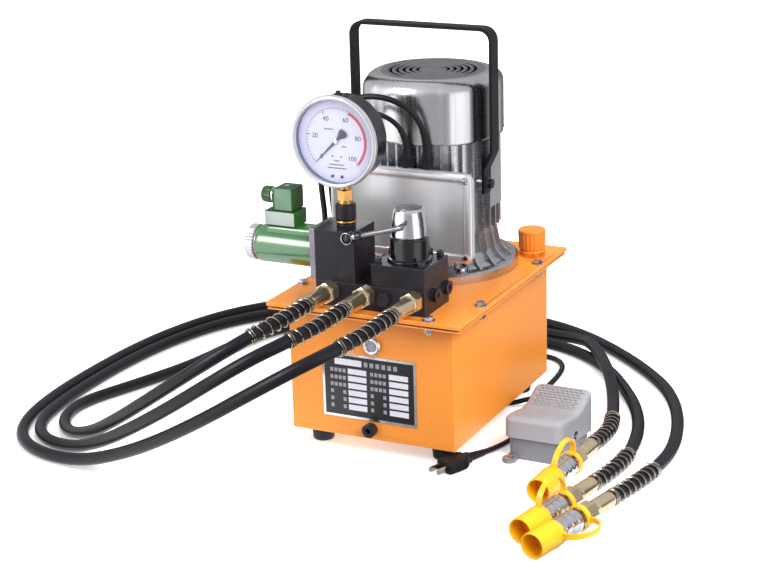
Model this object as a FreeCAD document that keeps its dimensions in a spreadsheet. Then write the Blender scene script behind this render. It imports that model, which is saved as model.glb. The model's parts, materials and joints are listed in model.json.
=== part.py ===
import FreeCAD, Part
import math
import os
import re
import Sketcher
from FreeCAD import Placement, Rotation, Vector

# Electric hydraulic power unit: an oil tank with a vertical motor pump, a solenoid valve, a
# pressure gauge, three hoses with quick couplers, a foot switch and a mains lead.
# Millimetres, +Z up. The origin is on the floor, in the middle of the tank's four feet.
# The front, with the hoses and the nameplate, faces -Y, and +X is to the right.

os.makedirs("parts", exist_ok=True)
DOC = FreeCAD.newDocument("hydraulic_power_unit")
SHEET = DOC.addObject("Spreadsheet::Sheet", "dims")

DIMENSIONS = [
    # tank and cover
    ("tank_width", 210), ("tank_depth", 288), ("tank_floor", 20), ("tank_top", 174),
    ("tank_wall", 3), ("flange_lip", 17), ("flange_thick", 2), ("gasket_thick", 2),
    ("cover_width", 246), ("cover_depth", 330), ("cover_thick", 5),
    ("foot_radius", 14), ("foot_inset_x", 26), ("foot_inset_y", 27), ("foot_hole", 4),
    ("bolt_edge", 8), ("bolt_front_x", 82), ("bolt_side_y", 87),
    ("bolt_radius", 3), ("bolt_head_radius", 5.6), ("bolt_head_height", 4),
    ("nut_radius", 5.6), ("nut_height", 5), ("bolt_clearance", 0.3),
    ("plate_width", 121), ("plate_height", 80), ("plate_thick", 1), ("plate_low", 43),
    ("plate_left", -62.5),
    ("sight_x", 4), ("sight_z", 137), ("sight_radius", 11), ("sight_hole", 8),
    ("drain_x", -1), ("drain_z", 33), ("drain_radius", 8), ("drain_hole", 5),
    ("breather_x", 94), ("breather_y", 121), ("breather_radius", 17), ("neck_radius", 12),
    ("stub_radius", 6.5),
    # motor
    ("motor_x", -3), ("motor_y", 50), ("shield_radius", 100), ("shield_thick", 10),
    ("shield_top", 230), ("frame_top", 352), ("frame_root", 71), ("fin_radius", 79),
    ("fin_thick", 2.6), ("fin_count", 36), ("stator_bore", 35), ("stator_radius", 62),
    ("core_low", 256), ("core_high", 334), ("air_gap", 0.6), ("shaft_radius", 10),
    ("bearing_radius", 23.5), ("bearing_width", 14), ("cowl_low", 347), ("cowl_high", 421.5),
    ("cowl_radius", 82.5), ("cowl_wall", 1.5), ("cowl_flat", 66), ("cowl_lobe", 3),
    ("slot_first", 17), ("slot_pitch", 8), ("slot_width", 3.6), ("slot_count", 5),
    ("slot_arc", 84), ("slot_turn", 26), ("fan_radius", 72), ("fan_height", 20),
    ("pump_radius", 58), ("pump_low", 112), ("pump_cavity", 24), ("throw", 3.5),
    ("eccentric_radius", 14), ("plunger_radius", 7), ("plunger_level", 140),
    # terminal box and handle
    ("box_left", -94.5), ("box_width", 183), ("box_low", 216), ("box_height", 107),
    ("box_front", -50), ("lid_thick", 8), ("box_inset", 11.5), ("box_depth", 20),
    ("gland_x", 2), ("gland_pitch", 26), ("gland_y", -37.2), ("gland_radius", 7.3),
    ("handle_half", 92), ("handle_top", 481), ("handle_y", 22), ("bar_width", 20),
    ("bar_thick", 4), ("bar_bend", 14), ("handle_low", 284), ("handle_bolt_z", 295),
    # valve group
    ("base_left", -64), ("base_width", 138), ("base_depth", 65), ("base_height", 29),
    ("base_front", -149.5), ("valve_width", 50), ("valve_depth", 54), ("valve_height", 61),
    ("relief_left", 7), ("relief_height", 27), ("dome_x", 40.5), ("dome_y", -116),
    ("port_z", 200), ("port_one_x", -45), ("port_two_x", 1), ("port_three_x", 61),
    ("coil_y", -124), ("coil_z", 239.3), ("coil_radius", 22), ("coil_length", 76),
    ("saddle_top", 266), ("seat_width", 40), ("seat_depth", 29), ("seat_top", 283.5),
    ("plug_left", -121.5), ("plug_width", 24), ("plug_depth", 28), ("plug_top", 311.5),
    ("outlet_left", -142.5), ("outlet_z", 299), ("outlet_radius", 9.8),
    ("gauge_x", -35), ("gauge_z", 374.5), ("gauge_front", -151), ("gauge_radius", 50),
    ("bezel_radius", 53.5), ("stem_y", -125), ("lever_x", -18.3), ("lever_z", 266.2),
    ("lever_rise", 15.5), ("grip_radius", 3.1),
    # foot switch
    ("pedal_left", 145), ("pedal_width", 71), ("pedal_front", -95), ("pedal_length", 107),
    ("pedal_wall", 3), ("pivot_y", -47), ("pivot_z", 22), ("pin_radius", 4),
    # cords and what is on them
    ("hose_radius", 7.5), ("guard_gap", 0.3), ("guard_radius", 10), ("ferrule_radius", 9.5),
    ("ferrule_length", 39.4), ("nut_radius_hose", 12.7), ("nut_length", 15.5),
    ("coupler_length", 44), ("floor_height", 15.2),
    ("coupler_radius", 13.5), ("cap_radius", 14.5), ("cap_length", 42), ("mains_radius", 3.5),
    ("pedal_cable_radius", 3),
]
for row, (alias, number) in enumerate(DIMENSIONS, start=1):
    SHEET.set("A%d" % row, alias)
    SHEET.set("B%d" % row, str(number))
    SHEET.setAlias("B%d" % row, alias)
DOC.recompute()
NUMBERS = {alias: float(SHEET.get(alias)) for alias, number in DIMENSIONS}
WORD = re.compile(r"[A-Za-z_]\w*")
PARTS = []


def ex(text):
    """A formula in the sheet's words, written as a FreeCAD expression."""
    def link(match):
        word = match.group(0)
        return "dims." + word if word in NUMBERS else word
    return WORD.sub(link, str(text))


def value(text):
    """The number that a formula gives now."""
    return float(SHEET.evalExpression(ex(text)))


def n(alias):
    """One driving dimension as a number."""
    return NUMBERS[alias]


def bind(obj, prop, text):
    obj.setExpression(prop, ex(text))


TURNS = {
    None: Rotation(),
    "x": Rotation(Vector(0, 1, 0), 90),
    "-x": Rotation(Vector(0, 1, 0), -90),
    "y": Rotation(Vector(1, 0, 0), -90),
    "-y": Rotation(Vector(1, 0, 0), 90),
}


def place(obj, at, turn=None):
    """Put an object at three formulas, with its own Z axis along the named direction."""
    obj.Placement = Placement(Vector(*[value(text) for text in at]), TURNS[turn])
    for axis, text in zip("xyz", at):
        bind(obj, "Placement.Base." + axis, text)
    return obj


def box(name, size, at):
    obj = DOC.addObject("Part::Box", name)
    for prop, text in zip(("Length", "Width", "Height"), size):
        bind(obj, prop, text)
    return place(obj, at)


def rod(name, radius, length, at, turn=None, sweep="360"):
    obj = DOC.addObject("Part::Cylinder", name)
    bind(obj, "Radius", radius)
    bind(obj, "Height", length)
    bind(obj, "Angle", sweep)
    return place(obj, at, turn)


def cone(name, low, high, length, at, turn=None):
    obj = DOC.addObject("Part::Cone", name)
    bind(obj, "Radius1", low)
    bind(obj, "Radius2", high)
    bind(obj, "Height", length)
    return place(obj, at, turn)


def hexagon(name, radius, length, at, turn=None):
    obj = DOC.addObject("Part::Prism", name)
    obj.Polygon = 6
    bind(obj, "Circumradius", radius)
    bind(obj, "Height", length)
    return place(obj, at, turn)


def ring(name, outer, inner, length, at, turn=None):
    return cut(name, rod(name + "_outer", outer, length, at, turn),
               rod(name + "_inner", inner, length, at, turn))


def fuse(name, *shapes):
    obj = DOC.addObject("Part::MultiFuse", name)
    obj.Shapes = list(shapes)
    return obj


def cut(name, base, *tools):
    obj = DOC.addObject("Part::Cut", name)
    obj.Base = base
    obj.Tool = tools[0] if len(tools) == 1 else fuse(name + "_tools", *tools)
    return obj


def several(name, *shapes):
    """Separate solids that share one node."""
    obj = DOC.addObject("Part::Compound", name)
    obj.Links = list(shapes)
    return obj


def rounded(name, base, radius, pick):
    """Fillet the edges of base whose middle point and direction pick() accepts."""
    DOC.recompute()
    obj = DOC.addObject("Part::Fillet", name)
    obj.Base = base
    size = value(radius)
    chosen = []
    for number, edge in enumerate(base.Shape.Edges, start=1):
        first, last = edge.Vertexes[0].Point, edge.Vertexes[-1].Point
        if pick((first + last) * 0.5, last - first):
            chosen.append((number, size, size))
    if not chosen:
        raise RuntimeError(name + " has no edge to round")
    obj.Edges = chosen
    return obj


def upright(middle, along):
    return abs(along.z) > 0.5 and abs(along.x) < 0.01 and abs(along.y) < 0.01


def part(obj, label):
    """Name an object as a sub-part, which becomes one node."""
    obj.Label = label
    PARTS.append(obj)
    return obj


def shield_bolt_spots(base_x="motor_x", base_y="motor_y"):
    return [(base_x + " + 83 * cos(%d)" % angle, base_y + " + 83 * sin(%d)" % angle)
            for angle in (45, 135, 225, 315)]


def add_shape(label, shape, placement=None):
    """A sub-part whose shape is worked out here from the sheet's numbers."""
    obj = DOC.addObject("Part::Feature", label)
    obj.Shape = shape
    obj.Placement = placement or Placement()
    return part(obj, label)


# ---------------------------------------------------------------- PartDesign helpers

def new_body(label, at=("0", "0", "0")):
    body = DOC.addObject("PartDesign::Body", label)
    place(body, at)
    return part(body, label)


def origin_plane(body, role):
    for feature in body.Origin.OriginFeatures:
        if feature.Role == role:
            return feature
    raise RuntimeError("no plane " + role)


def new_sketch(body, name, role, lift="0"):
    sketch = body.newObject("Sketcher::SketchObject", name)
    sketch.AttachmentSupport = [(origin_plane(body, role), "")]
    sketch.MapMode = "FlatFace"
    bind(sketch, "AttachmentOffset.Base.z", lift)
    return sketch


def outline(sketch, points):
    """A closed outline of straight lines through points that are pairs of formulas."""
    spots = [Vector(value(across), value(up), 0) for across, up in points]
    count = len(spots)
    first = sketch.GeometryCount
    for i in range(count):
        sketch.addGeometry(Part.LineSegment(spots[i], spots[(i + 1) % count]), False)
    for i in range(count):
        following = first + (i + 1) % count
        sketch.addConstraint(Sketcher.Constraint("Coincident", first + i, 2, following, 1))
    for i, (across, up) in enumerate(points):
        for kind, text, number in (("DistanceX", across, spots[i].x),
                                   ("DistanceY", up, spots[i].y)):
            index = sketch.addConstraint(Sketcher.Constraint(kind, -1, 1, first + i, 1, number))
            bind(sketch, "Constraints[%d]" % index, text)


def frame_outline(sketch, left, low, right, high):
    outline(sketch, [(left, low), (right, low), (right, high), (left, high)])


def circle(sketch, across, up, radius):
    spot = Vector(value(across), value(up), 0)
    index = sketch.addGeometry(Part.Circle(spot, Vector(0, 0, 1), value(radius)), False)
    size = sketch.addConstraint(Sketcher.Constraint("Radius", index, value(radius)))
    bind(sketch, "Constraints[%d]" % size, radius)
    for kind, text, number in (("DistanceX", across, spot.x), ("DistanceY", up, spot.y)):
        rule = sketch.addConstraint(Sketcher.Constraint(kind, -1, 1, index, 3, number))
        bind(sketch, "Constraints[%d]" % rule, text)


def pad(body, sketch, length, both=False, backwards=False):
    feature = body.newObject("PartDesign::Pad", sketch.Name + "_pad")
    feature.Profile = sketch
    bind(feature, "Length", length)
    if both:
        feature.SideType = "Symmetric"
    feature.Reversed = backwards
    return feature


def pocket(body, sketch, length, backwards=False):
    """Cut a sketch out of the body, and fail if nothing was cut."""
    DOC.recompute()
    before = body.Shape.Volume
    feature = body.newObject("PartDesign::Pocket", sketch.Name + "_pocket")
    feature.Profile = sketch
    bind(feature, "Length", length)
    feature.Reversed = backwards
    DOC.recompute()
    if body.Shape.Volume > before - 0.001:
        raise RuntimeError(feature.Name + " cuts nothing")
    return feature


def spin(body, sketch):
    """Turn a sketch on the XZ plane about the body's own Z axis."""
    feature = body.newObject("PartDesign::Revolution", sketch.Name + "_turned")
    feature.Profile = sketch
    feature.ReferenceAxis = (sketch, ["V_Axis"])
    feature.Angle = 360
    return feature


def repeat_round(body, features, count, axis="N_Axis"):
    """Repeat features evenly about the body's Z axis, which the sketch calls by this name."""
    pattern = body.newObject("PartDesign::PolarPattern", features[0].Name + "_round")
    pattern.Originals = features
    pattern.Axis = (features[0].Profile[0], [axis])
    pattern.Angle = 360
    bind(pattern, "Occurrences", count)
    body.Tip = pattern
    return pattern


def turned(label, at, points):
    """A body that is one outline, pairs of radius and height, turned about its Z axis."""
    body = new_body(label, at)
    sketch = new_sketch(body, label + "_outline", "XZ_Plane")
    outline(sketch, points)
    body.Tip = spin(body, sketch)
    return body


# ---------------------------------------------------------------- tank and cover

MOTOR = ("motor_x", "motor_y", "0")
COVER_TOP = "tank_top + gasket_thick + cover_thick"
BASE_TOP = COVER_TOP + " + base_height"


def bolt_spots():
    """The eight cover bolts: two along the front, two along the back, two down each side."""
    front, side = "cover_depth / 2 - bolt_edge", "cover_width / 2 - bolt_edge"
    spots = []
    for hand in ("", "-"):
        for end in ("", "-"):
            spots.append((hand + "bolt_front_x", end + "(" + front + ")"))
            spots.append((hand + "(" + side + ")", end + "bolt_side_y"))
    return spots


def through_holes(name, radius, low, height):
    return [rod("%s_%d" % (name, i), radius, height, (x, y, low))
            for i, (x, y) in enumerate(bolt_spots(), start=1)]


def oil_tank():
    """Folded and welded sheet box, open at the top, with an outward lip."""
    shell = box("tank_shell", ("tank_width", "tank_depth", "tank_top - tank_floor"),
                ("-tank_width / 2", "-tank_depth / 2", "tank_floor"))
    lip = box("tank_lip", ("tank_width + 2 * flange_lip", "cover_depth - 2", "flange_thick"),
              ("-tank_width / 2 - flange_lip", "-cover_depth / 2 + 1", "tank_top - flange_thick"))
    inside = box("tank_inside", ("tank_width - 2 * tank_wall", "tank_depth - 2 * tank_wall",
                                 "tank_top"),
                 ("-tank_width / 2 + tank_wall", "-tank_depth / 2 + tank_wall",
                  "tank_floor + tank_wall"))
    sight = rod("tank_sight_hole", "sight_hole", "tank_wall + 2",
                ("sight_x", "-tank_depth / 2 - 1", "sight_z"), "y")
    drain = rod("tank_drain_hole", "drain_hole", "tank_wall + 2",
                ("drain_x", "-tank_depth / 2 - 1", "drain_z"), "y")
    holes = through_holes("tank_bolt_hole", "bolt_radius + bolt_clearance",
                          "tank_top - flange_thick - 1", "flange_thick + 2")
    screws = [rod("tank_foot_hole%d" % i, "foot_hole", "tank_wall + 2", (x, y, "tank_floor - 1"))
              for i, (x, y) in enumerate(foot_spots())]
    walls = fuse("tank_walls", shell, lip)
    part(cut("oil_tank_cut", walls, inside, sight, drain, *holes, *screws), "oil_tank")


def foot_spots():
    x, y = "tank_width / 2 - foot_inset_x", "tank_depth / 2 - foot_inset_y"
    return [(hand + "(" + x + ")", end + "(" + y + ")") for hand in ("", "-") for end in ("", "-")]


def tank_feet():
    """Tapered rubber feet, each with the hole that its fixing screw goes up through."""
    feet = []
    for i, (x, y) in enumerate(foot_spots()):
        body = cone("foot_body%d" % i, "foot_radius - 2", "foot_radius", "tank_floor", (x, y, "0"))
        hole = rod("foot_hole%d" % i, "foot_hole", "tank_floor + 2", (x, y, "-1"))
        feet.append(cut("foot%d" % i, body, hole))
    part(several("feet", *feet), "tank_feet")


def cover_gasket():
    body = new_body("cover_gasket")
    sketch = new_sketch(body, "gasket_outline", "XY_Plane", "tank_top")
    frame_outline(sketch, "-cover_width / 2 + 4", "-cover_depth / 2 + 4",
                  "cover_width / 2 - 4", "cover_depth / 2 - 4")
    frame_outline(sketch, "-tank_width / 2 + tank_wall", "-tank_depth / 2 + tank_wall",
                  "tank_width / 2 - tank_wall", "tank_depth / 2 - tank_wall")
    for x, y in bolt_spots():
        circle(sketch, x, y, "bolt_radius + bolt_clearance")
    body.Tip = pad(body, sketch, "gasket_thick")


def cover_plate():
    """Steel lid that carries the motor, the valves and the filler."""
    body = new_body("cover_plate")
    sketch = new_sketch(body, "cover_outline", "XY_Plane", "tank_top + gasket_thick")
    frame_outline(sketch, "-cover_width / 2", "-cover_depth / 2",
                  "cover_width / 2", "cover_depth / 2")
    pad(body, sketch, "cover_thick")
    holes = new_sketch(body, "cover_holes", "XY_Plane", COVER_TOP)
    circle(holes, "motor_x", "motor_y", "pump_radius + 0.5")
    circle(holes, "breather_x", "breather_y", "stub_radius + 0.2")
    circle(holes, "base_left + 20", "base_front + base_depth / 2", "5")
    circle(holes, "base_left + base_width - 20", "base_front + base_depth / 2", "5")
    for x, y in bolt_spots():
        circle(holes, x, y, "bolt_radius + bolt_clearance")
    for x, y in shield_bolt_spots():
        circle(holes, x, y, "4.2")
    body.Tip = pocket(body, holes, "cover_thick")


def cover_fasteners():
    """Hexagon bolts down through the cover and the lip, each with its nut underneath."""
    pieces = []
    for i, (x, y) in enumerate(bolt_spots(), start=1):
        head = hexagon("bolt_head%d" % i, "bolt_head_radius", "bolt_head_height",
                       (x, y, COVER_TOP))
        shank = rod("bolt_shank%d" % i, "bolt_radius", "22", (x, y, COVER_TOP + " - 20"))
        pieces.append(fuse("cover_bolt%d" % i, head, shank))
        nut = hexagon("nut_block%d" % i, "nut_radius", "nut_height",
                      (x, y, "tank_top - flange_thick - nut_height"))
        hole = rod("nut_hole%d" % i, "bolt_radius", "nut_height + 2",
                   (x, y, "tank_top - flange_thick - nut_height - 1"))
        pieces.append(cut("cover_nut%d" % i, nut, hole))
    part(several("cover_fastener_set", *pieces), "cover_fasteners")


def nameplate():
    plate = box("plate_sheet", ("plate_width", "plate_thick", "plate_height"),
                ("plate_left", "-tank_depth / 2 - plate_thick", "plate_low"))
    part(plate, "nameplate")


def level_glass():
    """Oil level eye: a flanged metal ring in the tank wall, with its window inside it."""
    at = ("sight_x", "-tank_depth / 2 - 5", "sight_z")
    rim = rod("sight_rim", "sight_radius", "5", at, "y")
    neck = rod("sight_neck", "sight_hole - 0.05", "5 + tank_wall + 3", at, "y")
    bore = rod("sight_bore", "sight_hole - 2", "20",
               ("sight_x", "-tank_depth / 2 - 6", "sight_z"), "y")
    window = rod("sight_window", "sight_hole - 2.05", "3",
                 ("sight_x", "-tank_depth / 2 - 2", "sight_z"), "y")
    metal = cut("sight_metal", fuse("sight_solid", rim, neck), bore)
    part(several("sight_pieces", metal, window), "level_glass")


def drain_plug():
    at = ("drain_x", "-tank_depth / 2 - 10", "drain_z")
    head = rod("drain_head", "drain_radius", "10", at, "y")
    shank = rod("drain_shank", "drain_hole - 0.05", "10 + tank_wall + 3", at, "y")
    key = hexagon("drain_key", "4", "6", ("drain_x", "-tank_depth / 2 - 11", "drain_z"), "y")
    part(cut("drain_cut", fuse("drain_solid", head, shank), key), "drain_plug")


def breather():
    """Filler neck screwed into the cover, with a vented cap over it."""
    at = ("breather_x", "breather_y", "0")
    turned("breather_neck", at, [
        ("stub_radius - 1.5", "150"), ("stub_radius", "150"), ("stub_radius", COVER_TOP),
        ("breather_radius - 0.5", COVER_TOP), ("breather_radius - 0.5", "186"),
        ("neck_radius", "186"), ("neck_radius", "203"), ("stub_radius - 1.5", "203")])
    turned("breather_cap", at, [
        ("0", "204"), ("neck_radius + 0.3", "204"), ("neck_radius + 0.3", "186.6"),
        ("breather_radius - 1.4", "186.6"), ("breather_radius - 1.4", "203.5"),
        ("breather_radius", "205"), ("breather_radius", "211"), ("breather_radius - 2", "213.5"),
        ("0", "214")])


def suction_strainer():
    """Filter basket on the pump's inlet, down in the oil."""
    turned("suction_strainer", MOTOR, [
        ("3", "36"), ("19", "36"), ("19", "92"), ("9", "96"), ("9", "pump_low"),
        ("6", "pump_low"), ("6", "94"), ("17", "90"), ("17", "38"), ("3", "38")])


# ---------------------------------------------------------------- motor and pump

def motor_shield():
    """Drive end shield: the round flange on the cover, flaring up into the motor frame."""
    base = COVER_TOP
    body = turned("motor_shield", MOTOR, [
        ("18", base), ("shield_radius", base), ("shield_radius", base + " + shield_thick"),
        ("shield_radius - 3", base + " + shield_thick + 2"), ("88", base + " + 13"),
        ("80", base + " + 18"), ("74", base + " + 27"), ("frame_root", base + " + 38"),
        ("frame_root", "shield_top"), ("60", "shield_top"), ("60", "214"),
        ("bearing_radius", "214"), ("bearing_radius", "200"), ("18", "200")])
    rib = new_sketch(body, "shield_rib", "XZ_Plane")
    outline(rib, [("70", "shield_top"), ("frame_root + 3", "shield_top"),
                  ("frame_root + 7", base + " + 27"), ("86", base + " + 17"),
                  ("95", base + " + 11"), ("70", base + " + 11")])
    ribs = pad(body, rib, "3", both=True)
    repeat_round(body, [ribs], "24", "V_Axis")
    flange_bolts = new_sketch(body, "shield_bolt_holes", "XY_Plane", base + " + 30")
    for angle in (45, 135, 225, 315):
        circle(flange_bolts, "83 * cos(%d)" % angle, "83 * sin(%d)" % angle, "8.5")
    pocket(body, flange_bolts, "30 - shield_thick")
    bolt_holes = new_sketch(body, "shield_bolt_bores", "XY_Plane", base + " + 30")
    for x, y in shield_bolt_spots("0", "0"):
        circle(bolt_holes, x, y, "4.2")
    body.Tip = pocket(body, bolt_holes, "31")


def motor_frame():
    """Finned aluminium housing with a flat pad on each side and two handle bosses."""
    body = new_body("motor_frame", MOTOR)
    tube = new_sketch(body, "frame_tube", "XY_Plane", "shield_top")
    circle(tube, "0", "0", "frame_root")
    circle(tube, "0", "0", "stator_radius")
    pad(body, tube, "frame_top - shield_top")
    fin = new_sketch(body, "frame_fin", "XY_Plane", "shield_top + 5")
    frame_outline(fin, "frame_root - 1", "-fin_thick / 2", "fin_radius", "fin_thick / 2")
    fins = pad(body, fin, "frame_top - shield_top - 5")
    repeat_round(body, [fins], "fin_count")
    pads = new_sketch(body, "frame_pads", "XY_Plane", "262")
    frame_outline(pads, "frame_root - 4", "-17", "fin_radius + 0.4", "17")
    frame_outline(pads, "-fin_radius - 0.4", "-17", "-frame_root + 4", "17")
    pad(body, pads, "cowl_low - 262 - 3")
    bosses = new_sketch(body, "frame_bosses", "YZ_Plane", "-fin_radius + 1.6")
    circle(bosses, "handle_y - motor_y", "handle_bolt_z", "9")
    pad(body, bosses, "20")
    other = new_sketch(body, "frame_bosses_right", "YZ_Plane", "fin_radius - 21.6")
    circle(other, "handle_y - motor_y", "handle_bolt_z", "9")
    pad(body, other, "20")
    hole = new_sketch(body, "frame_boss_holes", "YZ_Plane", "fin_radius + 1")
    circle(hole, "handle_y - motor_y", "handle_bolt_z", "4.1")
    pocket(body, hole, "2 * fin_radius + 2")
    bore = new_sketch(body, "frame_bore", "XY_Plane", "frame_top + 1")
    circle(bore, "0", "0", "stator_radius")
    body.Tip = pocket(body, bore, "frame_top")


def rear_shield():
    turned("rear_shield", MOTOR, [
        ("11", "frame_top"), ("frame_root", "frame_top"), ("frame_root", "frame_top + 5"),
        ("40", "frame_top + 8"), ("30", "frame_top + 18"), ("11", "frame_top + 18"),
        ("11", "frame_top + 16"), ("bearing_radius", "frame_top + 16"),
        ("bearing_radius", "frame_top + 2"), ("11", "frame_top + 2")])


def stator():
    turned("stator_core", MOTOR, [
        ("stator_bore", "core_low"), ("stator_radius", "core_low"),
        ("stator_radius", "core_high"), ("stator_bore", "core_high")])
    low = ring("coil_end_low", "stator_radius - 4", "stator_bore + 5", "18",
               ("motor_x", "motor_y", "core_low - 18"))
    high = ring("coil_end_high", "stator_radius - 4", "stator_bore + 5", "14",
                ("motor_x", "motor_y", "core_high"))
    part(several("coil_ends", low, high), "stator_windings")


def rotor():
    """Rotor core on the shaft; the shaft's lower end is the pump's eccentric."""
    turned("rotor_core", MOTOR, [
        ("12", "core_low"), ("stator_bore - air_gap", "core_low"),
        ("stator_bore - air_gap", "core_high"), ("12", "core_high")])
    straight = rod("shaft_long", "shaft_radius", "270", ("motor_x", "motor_y", "124"))
    thick = rod("shaft_middle", "12", "core_high - core_low + 30",
                ("motor_x", "motor_y", "core_low - 15"))
    lobe = rod("shaft_eccentric", "eccentric_radius", "16",
               ("motor_x + throw", "motor_y", "plunger_level - 8"))
    part(fuse("shaft_solid", straight, thick, lobe), "motor_shaft")


def bearings():
    low = ring("bearing_low", "bearing_radius", "shaft_radius + 0.03", "bearing_width",
               ("motor_x", "motor_y", "200"))
    high = ring("bearing_high", "bearing_radius", "shaft_radius + 0.03", "bearing_width",
                ("motor_x", "motor_y", "frame_top + 2"))
    part(several("bearing_pair", low, high), "motor_bearings")


def cooling_fan():
    """Plastic fan: a hub, a disc and nine upright blades."""
    body = new_body("cooling_fan", MOTOR)
    disc = new_sketch(body, "fan_disc", "XY_Plane", "frame_top + 22")
    circle(disc, "0", "0", "fan_radius")
    circle(disc, "0", "0", "shaft_radius")
    pad(body, disc, "2")
    hub = new_sketch(body, "fan_hub", "XY_Plane", "frame_top + 22")
    circle(hub, "0", "0", "16")
    circle(hub, "0", "0", "shaft_radius")
    pad(body, hub, "fan_height")
    blade = new_sketch(body, "fan_blade", "XY_Plane", "frame_top + 23")
    frame_outline(blade, "15", "-1", "fan_radius - 2", "1")
    blades = pad(body, blade, "fan_height")
    repeat_round(body, [blades], "9")


def fan_cowl():
    """Pressed cowl: a rounded drum with four raised lobes and arc slots in its top."""
    body = new_body("fan_cowl", MOTOR)
    drum = new_sketch(body, "cowl_outline", "XZ_Plane")
    outline(drum, shoulder("0"))
    spin(body, drum)
    lobe = new_sketch(body, "cowl_lobe_outline", "XZ_Plane")
    outline(lobe, shoulder("cowl_lobe"))
    lobes = body.newObject("PartDesign::Revolution", "cowl_lobe_turned")
    lobes.Profile = lobe
    lobes.ReferenceAxis = (lobe, ["V_Axis"])
    lobes.Angle = 29
    lobes.Midplane = True
    pattern = body.newObject("PartDesign::PolarPattern", "cowl_lobes")
    pattern.Originals = [lobes]
    pattern.Axis = (lobe, ["V_Axis"])
    pattern.Angle = 360
    pattern.Occurrences = 4
    body.Tip = pattern
    hollow = new_sketch(body, "cowl_hollow", "XZ_Plane")
    outline(hollow, shoulder("-cowl_wall", "-cowl_wall", "cowl_low - 1"))
    groove = body.newObject("PartDesign::Groove", "cowl_hollow_turned")
    groove.Profile = hollow
    groove.ReferenceAxis = (hollow, ["V_Axis"])
    groove.Angle = 360
    body.Tip = groove
    slots = new_sketch(body, "cowl_slots", "XY_Plane", "cowl_high + 1")
    half = value("slot_arc") / 2
    for side in (0, 180):
        for i in range(int(n("slot_count"))):
            near = n("slot_first") + i * n("slot_pitch")
            arc_slot(slots, near, near + n("slot_width"), n("slot_turn") - 45 + side, half)
    body.Tip = pocket(body, slots, "12")
    body.Placement = Placement(body.Placement.Base, Rotation(Vector(0, 0, 1), 45))
    for axis, text in zip("xyz", MOTOR):
        bind(body, "Placement.Base." + axis, text)


def shoulder(more, top="0", foot="cowl_low"):
    """Half outline of the cowl, grown outward by more; its shoulder is a quarter ellipse."""
    points = [("0", foot), ("cowl_radius + (%s)" % more, foot)]
    for degrees in range(0, 91, 15):
        points.append((
            "cowl_flat + (cowl_radius - cowl_flat + (%s)) * cos(%d)" % (more, degrees),
            "cowl_high - 14 + (14 + (%s)) * sin(%d)" % (top, degrees)))
    points.append(("0", "cowl_high + (%s)" % top))
    return points


def arc_slot(sketch, near, far, middle, half):
    """A curved slot between two radii, half degrees each side of the middle angle."""
    corners = []
    for radius in (near, far):
        for angle in (middle - half, middle + half):
            turn = math.radians(angle)
            corners.append(Vector(radius * math.cos(turn), radius * math.sin(turn), 0))
    start, stop = math.radians(middle - half), math.radians(middle + half)
    inner = Part.ArcOfCircle(Part.Circle(Vector(), Vector(0, 0, 1), near), start, stop)
    outer = Part.ArcOfCircle(Part.Circle(Vector(), Vector(0, 0, 1), far), start, stop)
    sketch.addGeometry([inner, outer, Part.LineSegment(corners[0], corners[2]),
                        Part.LineSegment(corners[1], corners[3])], False)


def motor_bolts():
    """Hexagon bolts: four that hold the shield and two that hold the handle."""
    base = COVER_TOP + " + shield_thick"
    bolts = []
    for i, (x, y) in enumerate(shield_bolt_spots()):
        head = hexagon("shield_bolt_head%d" % i, "7.5", "7", (x, y, base))
        shank = rod("shield_bolt_shank%d" % i, "4", "20", (x, y, base + " - 18"))
        bolts.append(fuse("shield_bolt%d" % i, head, shank))
    for i, hand in enumerate(("", "-")):
        side = "x" if hand == "" else "-x"
        face = "motor_x " + ("+" if hand == "" else "-") + " (fin_radius - 1.6 + bar_thick)"
        head = hexagon("handle_bolt_head%d" % i, "7", "5.5", (face, "handle_y", "handle_bolt_z"),
                       side)
        back = "motor_x " + ("+" if hand == "" else "-") + " (fin_radius - 17)"
        shank = rod("handle_bolt_shank%d" % i, "4", "15.4 + bar_thick",
                    (back, "handle_y", "handle_bolt_z"), side)
        bolts.append(fuse("handle_bolt%d" % i, head, shank))
    part(several("motor_bolt_set", *bolts), "motor_bolts")


def pump():
    """Radial plunger pump that hangs from the motor through the cover."""
    body = new_body("pump_body", MOTOR)
    block = new_sketch(body, "pump_block", "XY_Plane", "pump_low")
    circle(block, "0", "0", "pump_radius")
    pad(body, block, COVER_TOP + " - pump_low")
    hollow = new_sketch(body, "pump_hollow", "XY_Plane", COVER_TOP)
    circle(hollow, "0", "0", "pump_cavity")
    pocket(body, hollow, COVER_TOP + " - pump_low - 10")
    inlet = new_sketch(body, "pump_inlet", "XY_Plane", "pump_low + 12")
    circle(inlet, "0", "0", "6")
    pocket(body, inlet, "14")
    bore = new_sketch(body, "pump_bores", "YZ_Plane", "pump_radius + 1")
    circle(bore, "0", "plunger_level", "plunger_radius + 0.05")
    DOC.recompute()
    bores = pocket(body, bore, "pump_radius + 1")
    pattern = body.newObject("PartDesign::PolarPattern", "pump_bores_round")
    pattern.Originals = [bores]
    pattern.Axis = (block, ["N_Axis"])
    pattern.Angle = 360
    pattern.Occurrences = 3
    body.Tip = pattern
    plungers = []
    for i, angle in enumerate((0, 120, 240)):
        rod_shape = Part.makeCylinder(n("plunger_radius"), 30, Vector(19, 0, n("plunger_level")),
                                      Vector(1, 0, 0))
        rod_shape.rotate(Vector(), Vector(0, 0, 1), angle)
        rod_shape.translate(Vector(n("motor_x"), n("motor_y"), 0))
        plungers.append(rod_shape)
    add_shape("pump_plungers", Part.makeCompound(plungers))


# ---------------------------------------------------------------- terminal box and handle

def across_y(middle, along):
    return abs(along.y) > 0.5 and abs(along.x) < 0.01 and abs(along.z) < 0.01


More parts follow.
